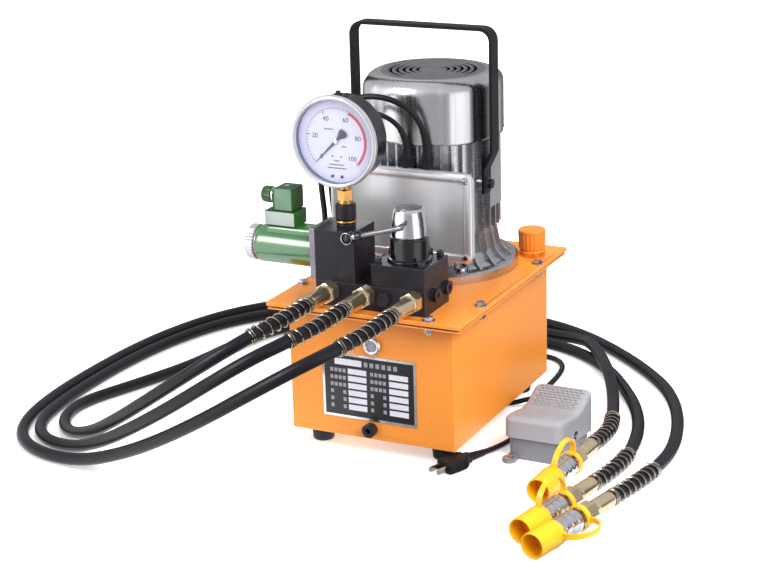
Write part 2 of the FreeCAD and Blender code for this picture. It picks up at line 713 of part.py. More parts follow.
def lid_screw_spots():
    left, low = "box_left + 7.5", "box_low + 7.5"
    right, high = "box_left + box_width - 7.5", "box_low + box_height - 7.5"
    return [(left, low), (right, low), (left, high), (right, high)]


def terminal_box():
    """Shallow wiring box on the front of the motor, with a lid that has a raised border."""
    sheet = box("lid_sheet", ("box_width", "lid_thick", "box_height"),
                ("box_left", "box_front", "box_low"))
    lid = rounded("lid_rounded", sheet, "8", across_y)
    panel = box("lid_panel", ("box_width - 20", "1.5", "box_height - 20"),
                ("box_left + 10", "box_front - 0.01", "box_low + 10"))
    recess = rounded("lid_recess", panel, "6", across_y)
    holes = [rod("lid_hole%d" % i, "2.1", "20", (x, "box_front - 5", z), "y")
             for i, (x, z) in enumerate(lid_screw_spots())]
    part(cut("lid_cut", lid, recess, *holes), "terminal_box_cover")
    back = "box_front + lid_thick"
    tray = box("tray_block", ("box_width - 2 * box_inset", "box_depth", "box_height - 10"),
               ("box_left + box_inset", back, "box_low + 5"))
    inside = box("tray_inside", ("box_width - 2 * box_inset - 6", "box_depth - 2",
                                 "box_height - 16"),
                 ("box_left + box_inset + 3", back + " - 1", "box_low + 8"))
    motor = rod("tray_motor_cut", "fin_radius + 0.2", "150", ("motor_x", "motor_y", "200"))
    glands = [rod("tray_gland_hole%d" % i, "4", "12",
                  ("gland_x + %d * gland_pitch" % i, "gland_y", "box_low + box_height - 12"))
              for i in range(2)]
    part(cut("tray_cut", tray, inside, motor, *glands), "terminal_box_base")


def cable_glands():
    top = "box_low + box_height - 5"
    pieces = []
    for i in range(2):
        x = "gland_x + %d * gland_pitch" % i
        neck = rod("gland_neck%d" % i, "3.9", "12", (x, "gland_y", top + " - 6"))
        nut = hexagon("gland_nut%d" % i, "gland_radius", "12", (x, "gland_y", top + " + 5.5"))
        dome = cone("gland_dome%d" % i, "6.2", "5", "9.5", (x, "gland_y", top + " + 17.5"))
        pieces.append(fuse("gland%d" % i, neck, nut, dome))
    part(several("gland_pair", *pieces), "cable_glands")


def lifting_handle():
    """Flat bar bent into a tall bail, its feet bolted to the two frame bosses."""
    body = new_body("lifting_handle", ("motor_x", "handle_y", "0"))
    side = new_sketch(body, "handle_side", "XZ_Plane")
    foot = "fin_radius - 1.6"
    outside = [("%s + bar_thick" % foot, "handle_low"), ("%s + bar_thick" % foot, "312"),
               ("handle_half", "334"), ("handle_half", "handle_top")]
    inside = [("handle_half - bar_thick", "handle_top - bar_thick"),
              ("handle_half - bar_thick", "335"), (foot, "313"), (foot, "handle_low")]
    right = outside + inside
    left = [("-(%s)" % x, z) for x, z in right]
    outline(side, right[:4] + left[:4][::-1] + left[4:][::-1] + right[4:])
    bar = pad(body, side, "bar_width", both=True)
    DOC.recompute()
    bends = body.newObject("PartDesign::Fillet", "handle_bends")
    top = n("handle_top")
    bends.Base = (bar, ["Edge%d" % i for i, edge in enumerate(bar.Shape.Edges, start=1)
                        if across_y(None, edge.Vertexes[-1].Point - edge.Vertexes[0].Point)
                        and edge.Vertexes[0].Point.z > top - 5])
    bind(bends, "Radius", "bar_bend - 2")
    holes = new_sketch(body, "handle_holes", "YZ_Plane", "handle_half + 1")
    circle(holes, "0", "handle_bolt_z", "4.1")
    body.Tip = pocket(body, holes, "2 * handle_half + 2")


def small_screws():
    """Pan-head screws that hold the lid of the terminal box."""
    screws = []
    for i, (x, z) in enumerate(lid_screw_spots()):
        head = rod("lid_screw_head%d" % i, "4.2", "2.4", (x, "box_front - 2.4", z), "y")
        shank = rod("lid_screw_shank%d" % i, "2", "9", (x, "box_front - 1", z), "y")
        slot = box("lid_screw_slot%d" % i, ("6.5", "1.4", "1.1"),
                   (x + " - 3.25", "box_front - 2.5", z + " - 0.55"))
        screws.append(cut("lid_screw%d" % i, fuse("lid_screw_solid%d" % i, head, shank), slot))
    part(several("lid_screws", *screws), "small_screws")


# ---------------------------------------------------------------- valves


def manifold():
    """Drilled steel block that the valves and the hoses screw into."""
    block = box("manifold_raw", ("base_width", "base_depth", "base_height"),
                ("base_left", "base_front", COVER_TOP))
    ports = [rod("manifold_port%d" % i, "6", "26", (x, "base_front - 1", "port_z"), "y")
             for i, x in enumerate(("port_one_x", "port_two_x", "port_three_x"))]
    front = rod("manifold_front_hole", "4.5", "12", ("23.5", "base_front - 1", "197"), "y")
    sides = [rod("manifold_side_hole%d" % i, "5", "26",
                 ("base_left + base_width + 1", y, "port_z"), "-x")
             for i, y in enumerate(("-123", "-92"))]
    feeds = [rod("manifold_feed%d" % i, "5", "20", (x, "base_front + base_depth / 2",
                                                  COVER_TOP + " - 1"))
             for i, x in enumerate(("base_left + 20", "base_left + base_width - 20"))]
    part(cut("manifold_drilled", block, front, *(ports + sides + feeds)), "manifold_block")


def valve():
    """Solenoid valve: body, mounting plate, coil, end nut, plug and the spool inside."""
    body = box("valve_raw", ("valve_width", "valve_depth", "valve_height"),
               ("base_left", "base_front", BASE_TOP))
    bore = rod("valve_bore", "6", "valve_width - 3", ("base_left", "coil_y", "coil_z"), "x")
    lever_bore = rod("valve_lever_bore", "4.05", "15", ("lever_x", "base_front", "lever_z"), "y")
    gauge_bore = rod("valve_gauge_bore", "6", "14",
                     ("gauge_x", "stem_y", BASE_TOP + " + valve_height - 14"))
    part(cut("valve_drilled", body, bore, lever_bore, gauge_bore), "valve_block")
    plate = box("valve_plate_raw", ("7", "valve_depth - 1", "valve_height - 1"),
                ("base_left - 7", "base_front + 0.5", BASE_TOP + " + 0.5"))
    hole = rod("valve_plate_hole", "3", "9", ("base_left - 8", "coil_y", "coil_z"), "x")
    part(cut("valve_plate_drilled", plate, hole), "valve_plate")
    left = "base_left - 8 - coil_length"
    barrel = rod("coil_barrel", "coil_radius", "coil_length + 1", (left, "coil_y", "coil_z"), "x")
    saddle = box("coil_saddle", ("coil_length - 11", "34", "saddle_top - coil_z"),
                 (left + " + 11", "coil_y - 17", "coil_z"))
    seat = box("coil_seat", ("seat_width", "seat_depth", "seat_top - coil_z"),
               (left + " + 13.5", "coil_y - seat_depth / 2", "coil_z"))
    tube = rod("coil_tube", "6.6", "coil_length + 3", (left + " - 1", "coil_y", "coil_z"), "x")
    part(cut("coil_drilled", fuse("coil_solid", barrel, saddle, seat), tube), "solenoid_coil")
    nut = rod("end_nut_raw", "coil_radius - 0.5", "14", (left + " - 14", "coil_y", "coil_z"), "x")
    pin_hole = rod("end_nut_hole", "2.6", "16", (left + " - 15", "coil_y", "coil_z"), "x")
    part(cut("end_nut_drilled", nut, pin_hole), "solenoid_end_nut")
    shell = box("plug_shell", ("plug_width", "plug_depth", "plug_top - seat_top"),
                ("plug_left", "coil_y - plug_depth / 2", "seat_top"))
    eased = rounded("plug_eased", shell, "3", upright)
    outlet = rod("plug_outlet", "outlet_radius - 1", "24", ("outlet_left", "coil_y", "outlet_z"),
                 "x")
    cap = rod("plug_outlet_cap", "outlet_radius", "8", ("outlet_left", "coil_y", "outlet_z"), "x")
    screw = rod("plug_screw", "3.5", "2", ("plug_left + 11", "coil_y", "plug_top"))
    part(fuse("plug_solid", eased, outlet, cap, screw), "solenoid_plug")
    land = rod("spool_land", "5.95", "42", ("base_left + 1", "coil_y", "coil_z"), "x")
    neck = rod("spool_push_rod", "2.5", "42", ("base_left - 40", "coil_y", "coil_z"), "x")
    slug = rod("spool_armature", "6.45", "40", ("base_left - 76", "coil_y", "coil_z"), "x")
    pin = rod("spool_pin", "2.5", "26", ("base_left - 100", "coil_y", "coil_z"), "x")
    part(fuse("spool_solid", land, neck, slug, pin), "valve_spool")


def relief_valve():
    block = box("relief_raw", ("base_left + base_width - relief_left", "base_depth",
                               "relief_height"), ("relief_left", "base_front", BASE_TOP))
    bore = rod("relief_bore", "8", "relief_height + 2", ("dome_x", "dome_y", BASE_TOP + " - 1"))
    part(cut("relief_drilled", block, bore), "relief_block")
    at = ("dome_x", "dome_y", BASE_TOP + " + relief_height")
    turned("relief_dome", at, [
        ("0", "0"), ("26", "0"), ("26", "3"), ("22.5", "3"), ("22.5", "20"), ("21", "28"),
        ("0", "28")])
    turned("relief_cap", at, [
        ("0", "28"), ("20.5", "28"), ("20.5", "38"), ("19.5", "50"), ("17.5", "57"),
        ("13", "60"), ("0", "61")])


def block_screws():
    top = BASE_TOP + " + relief_height"
    spots = [("13", "-142"), ("12", "-103"), ("67", "-142"), ("68", "-93"), ("52", "-88")]
    screws = []
    for i, (x, y) in enumerate(spots):
        head = rod("socket_head%d" % i, "4.25", "7", (x, y, top))
        key = hexagon("socket_key%d" % i, "2.4", "4", (x, y, top + " + 4"))
        screws.append(cut("socket_screw%d" % i, head, key))
    part(several("socket_screws", *screws), "block_screws")


def port_plugs():
    """Screwed plugs: a hexagon on the front of the manifold and two sockets on its side."""
    head = hexagon("front_plug_head", "8", "6", ("23.5", "base_front - 6", "197"), "y")
    stub = rod("front_plug_stub", "4.4", "14", ("23.5", "base_front - 4", "197"), "y")
    plugs = [fuse("front_plug", head, stub)]
    face = "base_left + base_width"
    for i, y in enumerate(("-123", "-92")):
        collar = rod("side_plug_collar%d" % i, "8", "5", (face, y, "port_z"), "x")
        stem = rod("side_plug_stem%d" % i, "4.9", "16", (face + " - 12", y, "port_z"), "x")
        key = hexagon("side_plug_key%d" % i, "4", "6", (face + " + 1", y, "port_z"), "x")
        plugs.append(cut("side_plug%d" % i, fuse("side_plug_solid%d" % i, collar, stem), key))
    part(several("plug_set", *plugs), "port_plugs")


def release_lever():
    """Manual lever: a spindle into the valve, a round hub and a rod that rises to the right."""
    spindle = rod("lever_spindle", "4", "14", ("lever_x", "base_front - 1", "lever_z"), "y")
    hub = rod("lever_hub", "7.5", "9", ("lever_x", "base_front - 9.5", "lever_z"), "y")
    middle = "base_front - 5"
    collar = rod("lever_collar", "4.4", "13", ("lever_x", middle, "lever_z"), "x")
    grip = rod("lever_grip", "grip_radius", "70", ("lever_x", middle, "lever_z"), "x")
    for piece, start in ((collar, "6"), (grip, "3")):
        piece.Placement.Rotation = Rotation(Vector(0, 1, 0), 90 - n("lever_rise"))
        bind(piece, "Placement.Base.x", "lever_x + %s * cos(lever_rise)" % start)
        bind(piece, "Placement.Base.z", "lever_z + %s * sin(lever_rise)" % start)
    part(fuse("lever_solid", spindle, hub, collar, grip), "release_lever")


# ---------------------------------------------------------------- gauge

def gauge():
    """Pressure gauge on a stacked adapter: case, dial, needle on its arbor, and window."""
    x, z = "gauge_x", "gauge_z"
    top = BASE_TOP + " + valve_height"
    turned("gauge_adapter", (x, "stem_y", "0"), [
        ("0", top + " - 12"), ("5.95", top + " - 12"), ("5.95", top), ("11", top),
        ("11", top + " + 5"), ("12.5", top + " + 5"), ("12.5", top + " + 8"),
        ("12", top + " + 8"), ("12", top + " + 27"), ("9", top + " + 28"),
        ("9", "gauge_z - gauge_radius + 1.5"), ("0", "gauge_z - gauge_radius + 1.5")])
    drum = rod("gauge_drum", "gauge_radius", "40", (x, "gauge_front", z), "y")
    bezel = rod("gauge_bezel", "bezel_radius", "12", (x, "gauge_front", z), "y")
    recess = rod("gauge_recess", "bezel_radius - 5", "11", (x, "gauge_front - 1", z), "y")
    arbor_hole = rod("gauge_arbor_hole", "1.55", "20", (x, "gauge_front", z), "y")
    socket = rod("gauge_socket", "9.05", "3.5", (x, "stem_y", "gauge_z - gauge_radius - 2"))
    case = fuse("gauge_case_solid", drum, bezel)
    part(cut("gauge_case_cut", case, recess, arbor_hole, socket), "gauge_case")
    face = rod("gauge_face", "bezel_radius - 5.1", "1", (x, "gauge_front + 9", z), "y")
    face_hole = rod("gauge_face_hole", "1.8", "3", (x, "gauge_front + 8", z), "y")
    part(cut("gauge_face_cut", face, face_hole), "gauge_dial")
    hub = rod("needle_hub", "5", "2", (x, "gauge_front + 6", z), "y")
    arbor = rod("needle_arbor", "1.5", "12", (x, "gauge_front + 7", z), "y")
    blade = box("needle_blade", ("1.6", "0.8", "50"),
                ("gauge_x", "gauge_front + 6.6", "gauge_z"))
    blade.Placement.Rotation = Rotation(Vector(0, 1, 0), 225)
    bind(blade, "Placement.Base.x", "gauge_x - 0.8 * cos(225) - 12 * sin(225)")
    bind(blade, "Placement.Base.z", "gauge_z + 0.8 * sin(225) - 12 * cos(225)")
    part(fuse("needle_solid", hub, arbor, blade), "gauge_needle")
    part(rod("gauge_window", "bezel_radius - 5.1", "2", (x, "gauge_front + 1.5", z), "y"),
         "gauge_lens")


# ---------------------------------------------------------------- foot switch

def foot_switch():
    """A hinged treadle over a hollow base; the hinge pin belongs to the base."""
    left, front = "pedal_left + 4", "pedal_front + 5"
    width, length = "pedal_width - 8", "pedal_length - 10"
    rim = box("switch_block", (width, length, "28"), (left, front, "0"))
    block = rounded("switch_rounded", rim, "7", upright)
    hollow = box("switch_hollow", (width + " - 6", length + " - 6", "25"),
                 (left + " + 3", front + " + 3", "-0.01"))
    shell = cut("switch_shell", block, hollow)
    pin = rod("switch_pin", "pin_radius", "pedal_width + 1", ("pedal_left - 0.5", "pivot_y",
                                                           "pivot_z"), "x")
    ear_spot = (left + " + 5", front + " - 9.5")
    ear = fuse("switch_ear", rod("switch_ear_end", "8", "5", (*ear_spot, "0")),
               box("switch_ear_web", ("13", "16", "5"), (left, ear_spot[1], "0")))
    ear_hole = rod("switch_ear_hole", "2.4", "7", (*ear_spot, "-1"))
    clear = box("switch_ear_clear", (width + " - 6", length + " - 6", "8"),
                (left + " + 3", front + " + 3", "-0.02"))
    gland = rod("switch_gland", "6", "18", ("181", front + " + " + length + " - 0.5", "12"), "y")
    whole = fuse("switch_solid", shell, pin, gland, cut("switch_ear_cut", ear, clear))
    part(cut("switch_drilled", whole, ear_hole), "foot_switch_base")
    body = new_body("foot_pedal", ("pedal_left", "0", "0"))
    side = new_sketch(body, "pedal_side", "YZ_Plane")
    rear = "pedal_front + pedal_length"
    top = [(rear, "59"), ("4", "57.5"), ("-7", "54"), ("-19", "49"), ("-30", "46.3"),
           ("-41", "46"), ("-52", "47.5"), ("-66", "50.5"), ("-80", "52.5"),
           ("pedal_front", "53")]
    low = [("pedal_front", "28"), ("-44", "14.5"), (rear, "7")]
    outline(side, top + low)
    block_pad = pad(body, side, "pedal_width")
    DOC.recompute()
    ease = body.newObject("PartDesign::Fillet", "pedal_corners")
    ease.Base = (block_pad, ["Edge%d" % i
                             for i, edge in enumerate(block_pad.Shape.Edges, start=1)
                             if upright(None, edge.Vertexes[-1].Point - edge.Vertexes[0].Point)
                             and edge.Length > 20])
    ease.Radius = 9
    hollow_side = new_sketch(body, "pedal_hollow", "YZ_Plane", "pedal_wall")
    inner = [(rear + " - pedal_wall", "55.5"), ("4", "54"), ("-7", "50.5"), ("-19", "45.5"),
             ("-30", "43"), ("-41", "42.7"), ("-52", "44"), ("-66", "47"), ("-80", "49"),
             ("pedal_front + pedal_wall", "49.5"), ("pedal_front + pedal_wall", "5"),
             (rear + " - pedal_wall", "5")]
    outline(hollow_side, inner)
    pocket(body, hollow_side, "pedal_width - 2 * pedal_wall", backwards=True)
    pin_hole = new_sketch(body, "pedal_pin_hole", "YZ_Plane", "-1")
    circle(pin_hole, "pivot_y", "pivot_z", "pin_radius + 0.06")
    pocket(body, pin_hole, "pedal_width + 2", backwards=True)
    notch = new_sketch(body, "pedal_notch", "XZ_Plane", "-(" + rear + " + 1)")
    frame_outline(notch, "27", "0", "45", "28")
    body.Tip = pocket(body, notch, "6", backwards=True)


# ---------------------------------------------------------------- cords

HOSE_ONE = [
    (-45, -205, 200), (-46.5, -249.5, 198.5), (-60, -292.5, 193), (-89, -323, 175),
    (-130, -334, 147), (-182, -327, 111), (-245, -303, 68), (-307, -272, 29), (-362, -243, 9),
    (-398, -202, 7.6), (-408, -146, 7.6), (-376, -62, 7.6), (-349, 20, 7.6), (-338, 105, 7.6),
    (-322, 175, 7.6), (-286, 233, 7.6), (-222, 272, 7.6), (-135, 290, 7.6), (-40, 291, 7.6),
    (54, 279, 7.6), (115, 253, 7.6), (165, 209, 7.6), (205, 155, 7.6), (240, 98, 7.6),
    (266, 34, 9), (282, -36, 12), (287, -103, 15), (276.5, -157, 15.2),
]
HOSE_TWO = [
    (1, -205, 200), (0, -252, 198.5), (-14, -299, 193), (-46, -334, 178), (-92, -347, 148),
    (-148, -343, 110), (-211, -325, 70), (-272, -301, 34), (-328, -283, 11), (-380, -268, 7.6),
    (-415, -228, 7.6), (-430, -168, 7.6), (-437, -80, 7.6), (-436, 15, 7.6), (-424, 105, 7.6),
    (-398, 185, 7.6), (-352, 250, 7.6), (-290, 293, 7.6), (-210, 314, 7.6), (-125, 318, 7.6),
    (-40, 317, 7.6), (40, 309, 8.5), (96, 285, 16), (128, 250, 25), (177, 171, 25),
    (203, 118, 15), (224, 60, 10.5), (241, 0, 12), (237.5, -52, 15.2),
]
HOSE_THREE = [
    (61, -205, 200), (60, -253, 198.5), (45, -302, 192), (12, -338, 176), (-38, -354, 146),
    (-104, -354, 104), (-176, -340, 62), (-241, -322, 30), (-300, -312, 10), (-360, -305, 7.6),
    (-410, -274, 7.6), (-440, -218, 7.6), (-454, -140, 7.6), (-458, -45, 7.6),
    (-455, 55, 7.6), (-440, 145, 7.6), (-411, 225, 7.6), (-365, 288, 7.6), (-302, 334, 7.6),
    (-225, 358, 7.6), (-140, 365, 7.6), (-50, 363, 7.6), (32, 350, 7.6), (95, 320, 7.6),
    (152, 278, 7.6), (205, 230, 7.6), (256, 172, 7.6), (290, 106, 7.6), (312, 38, 7.6),
    (325, -28, 10.5), (326, -86, 14), (319.5, -139, 15), (308, -187, 15.2),
]
MAINS = [
    (28, -37.2, 346), (27, -43, 374), (8, -52, 400), (-26, -57, 410), (-64, -56, 402),
    (-96, -53, 374), (-112, -45, 326), (-116, -31, 280), (-120, -16, 236), (-131, -6, 200),
    (-142, -2, 168), (-144, 0, 126), (-144, 4, 84), (-144, 16, 42), (-145, 44, 13),
    (-144, 84, 4), (-141, 128, 4), (-124, 166, 4), (-90, 192, 4), (-46, 208, 4), (4, 222, 4),
    (44, 236, 4), (78, 236, 4), (101, 214, 4), (109, 175, 4), (110, 130, 4), (118, 88, 4),
    (128, 48, 4), (135, 6, 4), (137, -38, 4), (130, -84, 5.5), (114, -124, 8.2),
]
PEDAL_CABLE = [
    (2, -37.2, 346), (1, -43, 368), (-24, -46, 386), (-58, -45, 384), (-87, -43, 360),
    (-102, -38, 318), (-106, -25, 272), (-110, -11, 232), (-120, -2, 200), (-131, 2, 168),
    (-133, 3, 128), (-133, 6, 86), (-133, 14, 46), (-127, 28, 15), (-103, 42, 3.2),
    (-60, 50, 3.2), (-5, 54, 3.2), (50, 51, 3.2), (90, 55, 5), (113, 64, 13), (130, 72, 13),
    (152, 74, 4.5), (174, 62, 3.6), (181, 42, 8), (181, 24.5, 12),
]
HOSES = [("hose_1", HOSE_ONE), ("hose_2", HOSE_TWO), ("hose_3", HOSE_THREE)]


def runs_and_bends(points):
    """Straight runs joined by tangent arcs: a list of (length, kind, data) along the cord."""
    spots = [Vector(*point) for point in points]
    steps = []
    here = spots[0]
    for i in range(1, len(spots) - 1):
        back, ahead = spots[i - 1] - spots[i], spots[i + 1] - spots[i]
        reach = 0.45 * min(back.Length, ahead.Length)
        back.normalize()
        ahead.normalize()
        half = (math.pi - back.getAngle(ahead)) / 2
        start, stop = spots[i] + back * reach, spots[i] + ahead * reach
        radius = reach / math.tan(half)
        inward = (back + ahead).normalize()
        centre = spots[i] + inward * math.hypot(radius, reach)
        steps.append(((start - here).Length, "run", (here, start)))
        steps.append((radius * 2 * half, "bend", (start, stop, centre, radius, 2 * half)))
        here = stop
    steps.append(((spots[-1] - here).Length, "run", (here, spots[-1])))
    return steps


def point_on(step, share):
    """The point part of the way along one run or one bend."""
    length, kind, data = step
    if kind == "run":
        return data[0] + (data[1] - data[0]) * share
    start, stop, centre, radius, angle = data
    first = (start - centre).normalize()
    last = (stop - centre).normalize()
    across = (last - first * first.dot(last)).normalize()
    return centre + (first * math.cos(angle * share) + across * math.sin(angle * share)) * radius


def cord_wire(steps, begin=0.0, end=None):
    """The wire of a cord between two distances along it."""
    total = sum(step[0] for step in steps)
    end = total if end is None else end
    edges, passed = [], 0.0
    for step in steps:
        first = max(begin - passed, 0) / step[0]
        last = min(end - passed, step[0]) / step[0]
        if last - first > 1e-6:
            low, high = point_on(step, first), point_on(step, last)
            if step[1] == "run":
                edges.append(Part.LineSegment(low, high).toShape())
            else:
                middle = point_on(step, (first + last) / 2)
                edges.append(Part.Arc(low, middle, high).toShape())
        passed += step[0]
    return Part.Wire(edges)


def tube_along(wire, outer, inner=0):
    """A round tube that follows a wire."""
    start = wire.Edges[0].valueAt(wire.Edges[0].FirstParameter)
    along = wire.Edges[0].tangentAt(wire.Edges[0].FirstParameter)
    solid = wire.makePipeShell([Part.Wire(Part.Circle(start, along, outer).toShape())], True, True)
    if not inner:
        return solid
    hole = wire.makePipeShell([Part.Wire(Part.Circle(start, along, inner).toShape())], True, True)
    return solid.cut(hole)


def cord(label, points, radius):
    steps = runs_and_bends(points)
    wire = cord_wire(steps)
    solid = tube_along(wire, radius)
    length = sum(step[0] for step in steps)
    bends = sorted(step[2][3] for step in steps if step[1] == "bend")
    print("%s length %.0f mm, tightest bends %s, diameters %.1f, volume ratio %.4f" % (
        label, length, [round(bend) for bend in bends[:3]], bends[0] / (2 * radius),
        solid.Volume / (math.pi * radius ** 2 * length)))
    add_shape(label, solid)
    return steps


def along_line(start, heading, length, radius, flats=False, turn=0):
    """A round or hexagonal bar from a point along a heading."""
    if not flats:
        return Part.makeCylinder(radius, length, start, heading)
    corners = [Vector(radius * math.cos(math.radians(60 * i + turn)),
                      radius * math.sin(math.radians(60 * i + turn)), 0) for i in range(7)]
    face = Part.Face(Part.makePolygon(corners))
    bar = face.extrude(Vector(0, 0, length))
    bar.Placement = Placement(start, Rotation(Vector(0, 0, 1), heading))
    return bar


def strap(middle, heading, lean, reach, across):
    """The flat loop that ties a dust cap to its hose, a half ring standing off the side."""
    side = Vector(0, 0, 1) * math.cos(math.radians(lean))
    flat = heading.cross(Vector(0, 0, 1)) * math.sin(math.radians(lean))
    out = (side + flat).normalize()
    hinge = out.cross(heading).normalize()
    base = middle + out * (n("cap_radius") - 1.5)
    corner = base - heading * reach
    corners = [corner - hinge * across / 2, corner + hinge * across / 2,
               corner + hinge * across / 2 + heading * 1.8,
               corner - hinge * across / 2 + heading * 1.8,
               corner - hinge * across / 2]
    return Part.Face(Part.makePolygon(corners)).revolve(base, hinge, 180)


def hoses():
    """The three hoses with their end fittings, spring guards, couplers and dust caps."""
    fittings, guards, ends, couplers, caps = [], [], [], [], []
    inner, outer = n("hose_radius") + n("guard_gap"), n("guard_radius")
    for label, points in HOSES:
        steps = cord(label, points, n("hose_radius"))
        total = sum(step[0] for step in steps)
        for begin, end in ((1, 101), (total - 101, total - 1)):
            guards.append(tube_along(cord_wire(steps, begin, end), outer, inner))
        port = Vector(points[0][0], n("base_front"), points[0][2])
        forward = Vector(0, -1, 0)
        nut = along_line(port, forward, n("nut_length"), n("nut_radius_hose"), True)
        stub = along_line(port + Vector(0, 14, 0), forward, 20, 5.9)
        sleeve = along_line(port + forward * (n("nut_length") - 1), forward,
                            n("ferrule_length") + 1, n("ferrule_radius"))
        fittings.append(nut.fuse([stub, sleeve]))
        last, before = Vector(*points[-1]), Vector(*points[-2])
        heading = last - before
        heading.z = 0
        heading.normalize()
        sleeve = along_line(last + heading * 0.8, heading, 37.2, n("ferrule_radius"))
        nut = along_line(last + heading * 37, heading, 23, n("nut_radius_hose"), True, 30)
        ends.append(sleeve.fuse(nut))
        at = last + heading * 60
        drum = along_line(at, heading, 8, 11)
        grip = along_line(at + heading * 8, heading, n("coupler_length") - 8,
                          n("coupler_radius"))
        couplers.append(drum.fuse(grip))
        at = at + heading * n("coupler_length")
        cup = along_line(at, heading, n("cap_length"), n("cap_radius"))
        recess = along_line(at + heading * 20, heading, n("cap_length"), n("cap_radius") - 2)
        collar = along_line(last + heading * 56, heading, 7, n("cap_radius") + 0.3)
        collar = collar.cut(along_line(last + heading * 55, heading, 9, n("nut_radius_hose")
                                       + 0.05))
        lean = {"hose_1": 0, "hose_2": -8, "hose_3": -84}[label]
        loop = strap(last + heading * 84, heading, lean, 26, 7)
        caps.append(cup.cut(recess).fuse([collar, loop]))
    add_shape("manifold_fittings", Part.makeCompound(fittings))
    add_shape("spring_guards", Part.makeCompound(guards))
    add_shape("coupler_fittings", Part.makeCompound(ends))
    add_shape("couplers", Part.makeCompound(couplers))
    add_shape("dust_caps", Part.makeCompound(caps))


def mains_plug():
    last, before = Vector(*MAINS[-1]), Vector(*MAINS[-2])
    heading = Vector(last.x - before.x, last.y - before.y, 0).normalize()
    shell = Part.makeBox(40, 26, 16, Vector(0, -13, -8))
    shell = shell.makeChamfer(4, [edge for edge in shell.Edges
                                  if edge.CenterOfMass.x < 1 and abs(edge.CenterOfMass.y) > 12])
    blades = [Part.makeBox(18, 1.5, 6.3, Vector(39, side * 6.35 - 0.75, -3.15))
              for side in (-1, 1)]
    plug = shell.fuse(blades)
    add_shape("mains_plug", plug, Placement(last, Rotation(Vector(1, 0, 0), heading)))


for build in (oil_tank, tank_feet, cover_gasket, cover_plate, cover_fasteners, nameplate,
              level_glass, drain_plug, breather, suction_strainer, motor_shield, motor_frame,
              rear_shield, stator, rotor, bearings, cooling_fan, fan_cowl, motor_bolts, pump,
              terminal_box, cable_glands, lifting_handle, small_screws, manifold, valve,
              relief_valve, block_screws, port_plugs, release_lever, gauge, foot_switch, hoses,
              mains_plug):
    build()
cord("mains_cable", MAINS, n("mains_radius"))
cord("foot_cable", PEDAL_CABLE, n("pedal_cable_radius"))

DOC.recompute()
for obj in DOC.Objects:
    if "Invalid" in obj.State or "Error" in obj.State:
        raise RuntimeError(obj.Label + " did not recompute: " + str(obj.State))
for obj in PARTS:
    if obj.Shape.isNull() or not obj.Shape.isValid() or not obj.Shape.Solids:
        raise RuntimeError(obj.Label + " is not a valid solid")
for obj in PARTS:
    obj.Shape.exportStep("parts/" + obj.Label + ".step")
    print("%-20s %2d solid(s) %9.0f mm3" % (obj.Label, len(obj.Shape.Solids), obj.Shape.Volume))
print(len(PARTS), "nodes")
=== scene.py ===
import json
import math

import bmesh
import bpy
from mathutils import Matrix, Vector


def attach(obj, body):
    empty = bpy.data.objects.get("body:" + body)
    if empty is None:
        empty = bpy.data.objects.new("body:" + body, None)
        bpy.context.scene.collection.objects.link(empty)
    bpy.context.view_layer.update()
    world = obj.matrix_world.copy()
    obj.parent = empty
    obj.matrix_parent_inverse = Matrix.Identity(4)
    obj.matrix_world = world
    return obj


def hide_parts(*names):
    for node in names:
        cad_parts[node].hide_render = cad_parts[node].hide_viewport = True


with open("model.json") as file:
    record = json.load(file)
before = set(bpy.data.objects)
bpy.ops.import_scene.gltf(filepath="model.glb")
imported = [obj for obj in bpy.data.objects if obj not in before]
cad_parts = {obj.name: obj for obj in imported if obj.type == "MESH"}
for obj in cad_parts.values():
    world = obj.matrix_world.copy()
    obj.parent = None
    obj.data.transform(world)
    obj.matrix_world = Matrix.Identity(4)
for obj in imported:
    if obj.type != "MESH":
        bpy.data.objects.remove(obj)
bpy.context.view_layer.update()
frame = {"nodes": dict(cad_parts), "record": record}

# Electric hydraulic power unit. Lengths are in millimetres until a mesh is finished.
MM = 0.001
UP = Vector((0, 0, 1))
FRONT = Vector((0, -1, 0))
NODES = frame["nodes"]
SCENE = bpy.context.scene
SCENE.view_settings.view_transform = "Standard"


# ---------------- camera

def add_camera():
    azimuth, elevation, roll = (math.radians(a) for a in (26.62, 17.93, -1.61))
    target, distance = Vector((-51.65, 0, 156.25)), 2355.4
    back = Vector((math.sin(azimuth) * math.cos(elevation),
                   -math.cos(azimuth) * math.cos(elevation), math.sin(elevation)))
    level = (-back).cross(UP).normalized()
    upward = level.cross(-back)
    side = level * math.cos(roll) + upward * math.sin(roll)
    top = upward * math.cos(roll) - level * math.sin(roll)
    camera = bpy.data.cameras.new("camera")
    camera.lens = 90.36
    camera.sensor_width = 36
    camera.clip_end = 50
    obj = bpy.data.objects.new("camera", camera)
    SCENE.collection.objects.link(obj)
    matrix = Matrix((side, top, back)).transposed().to_4x4()
    matrix.translation = target * MM + back * distance * MM
    obj.matrix_world = matrix
    SCENE.camera = obj


add_camera()


# ---------------- cord routes
# A point without a height lies on the floor.

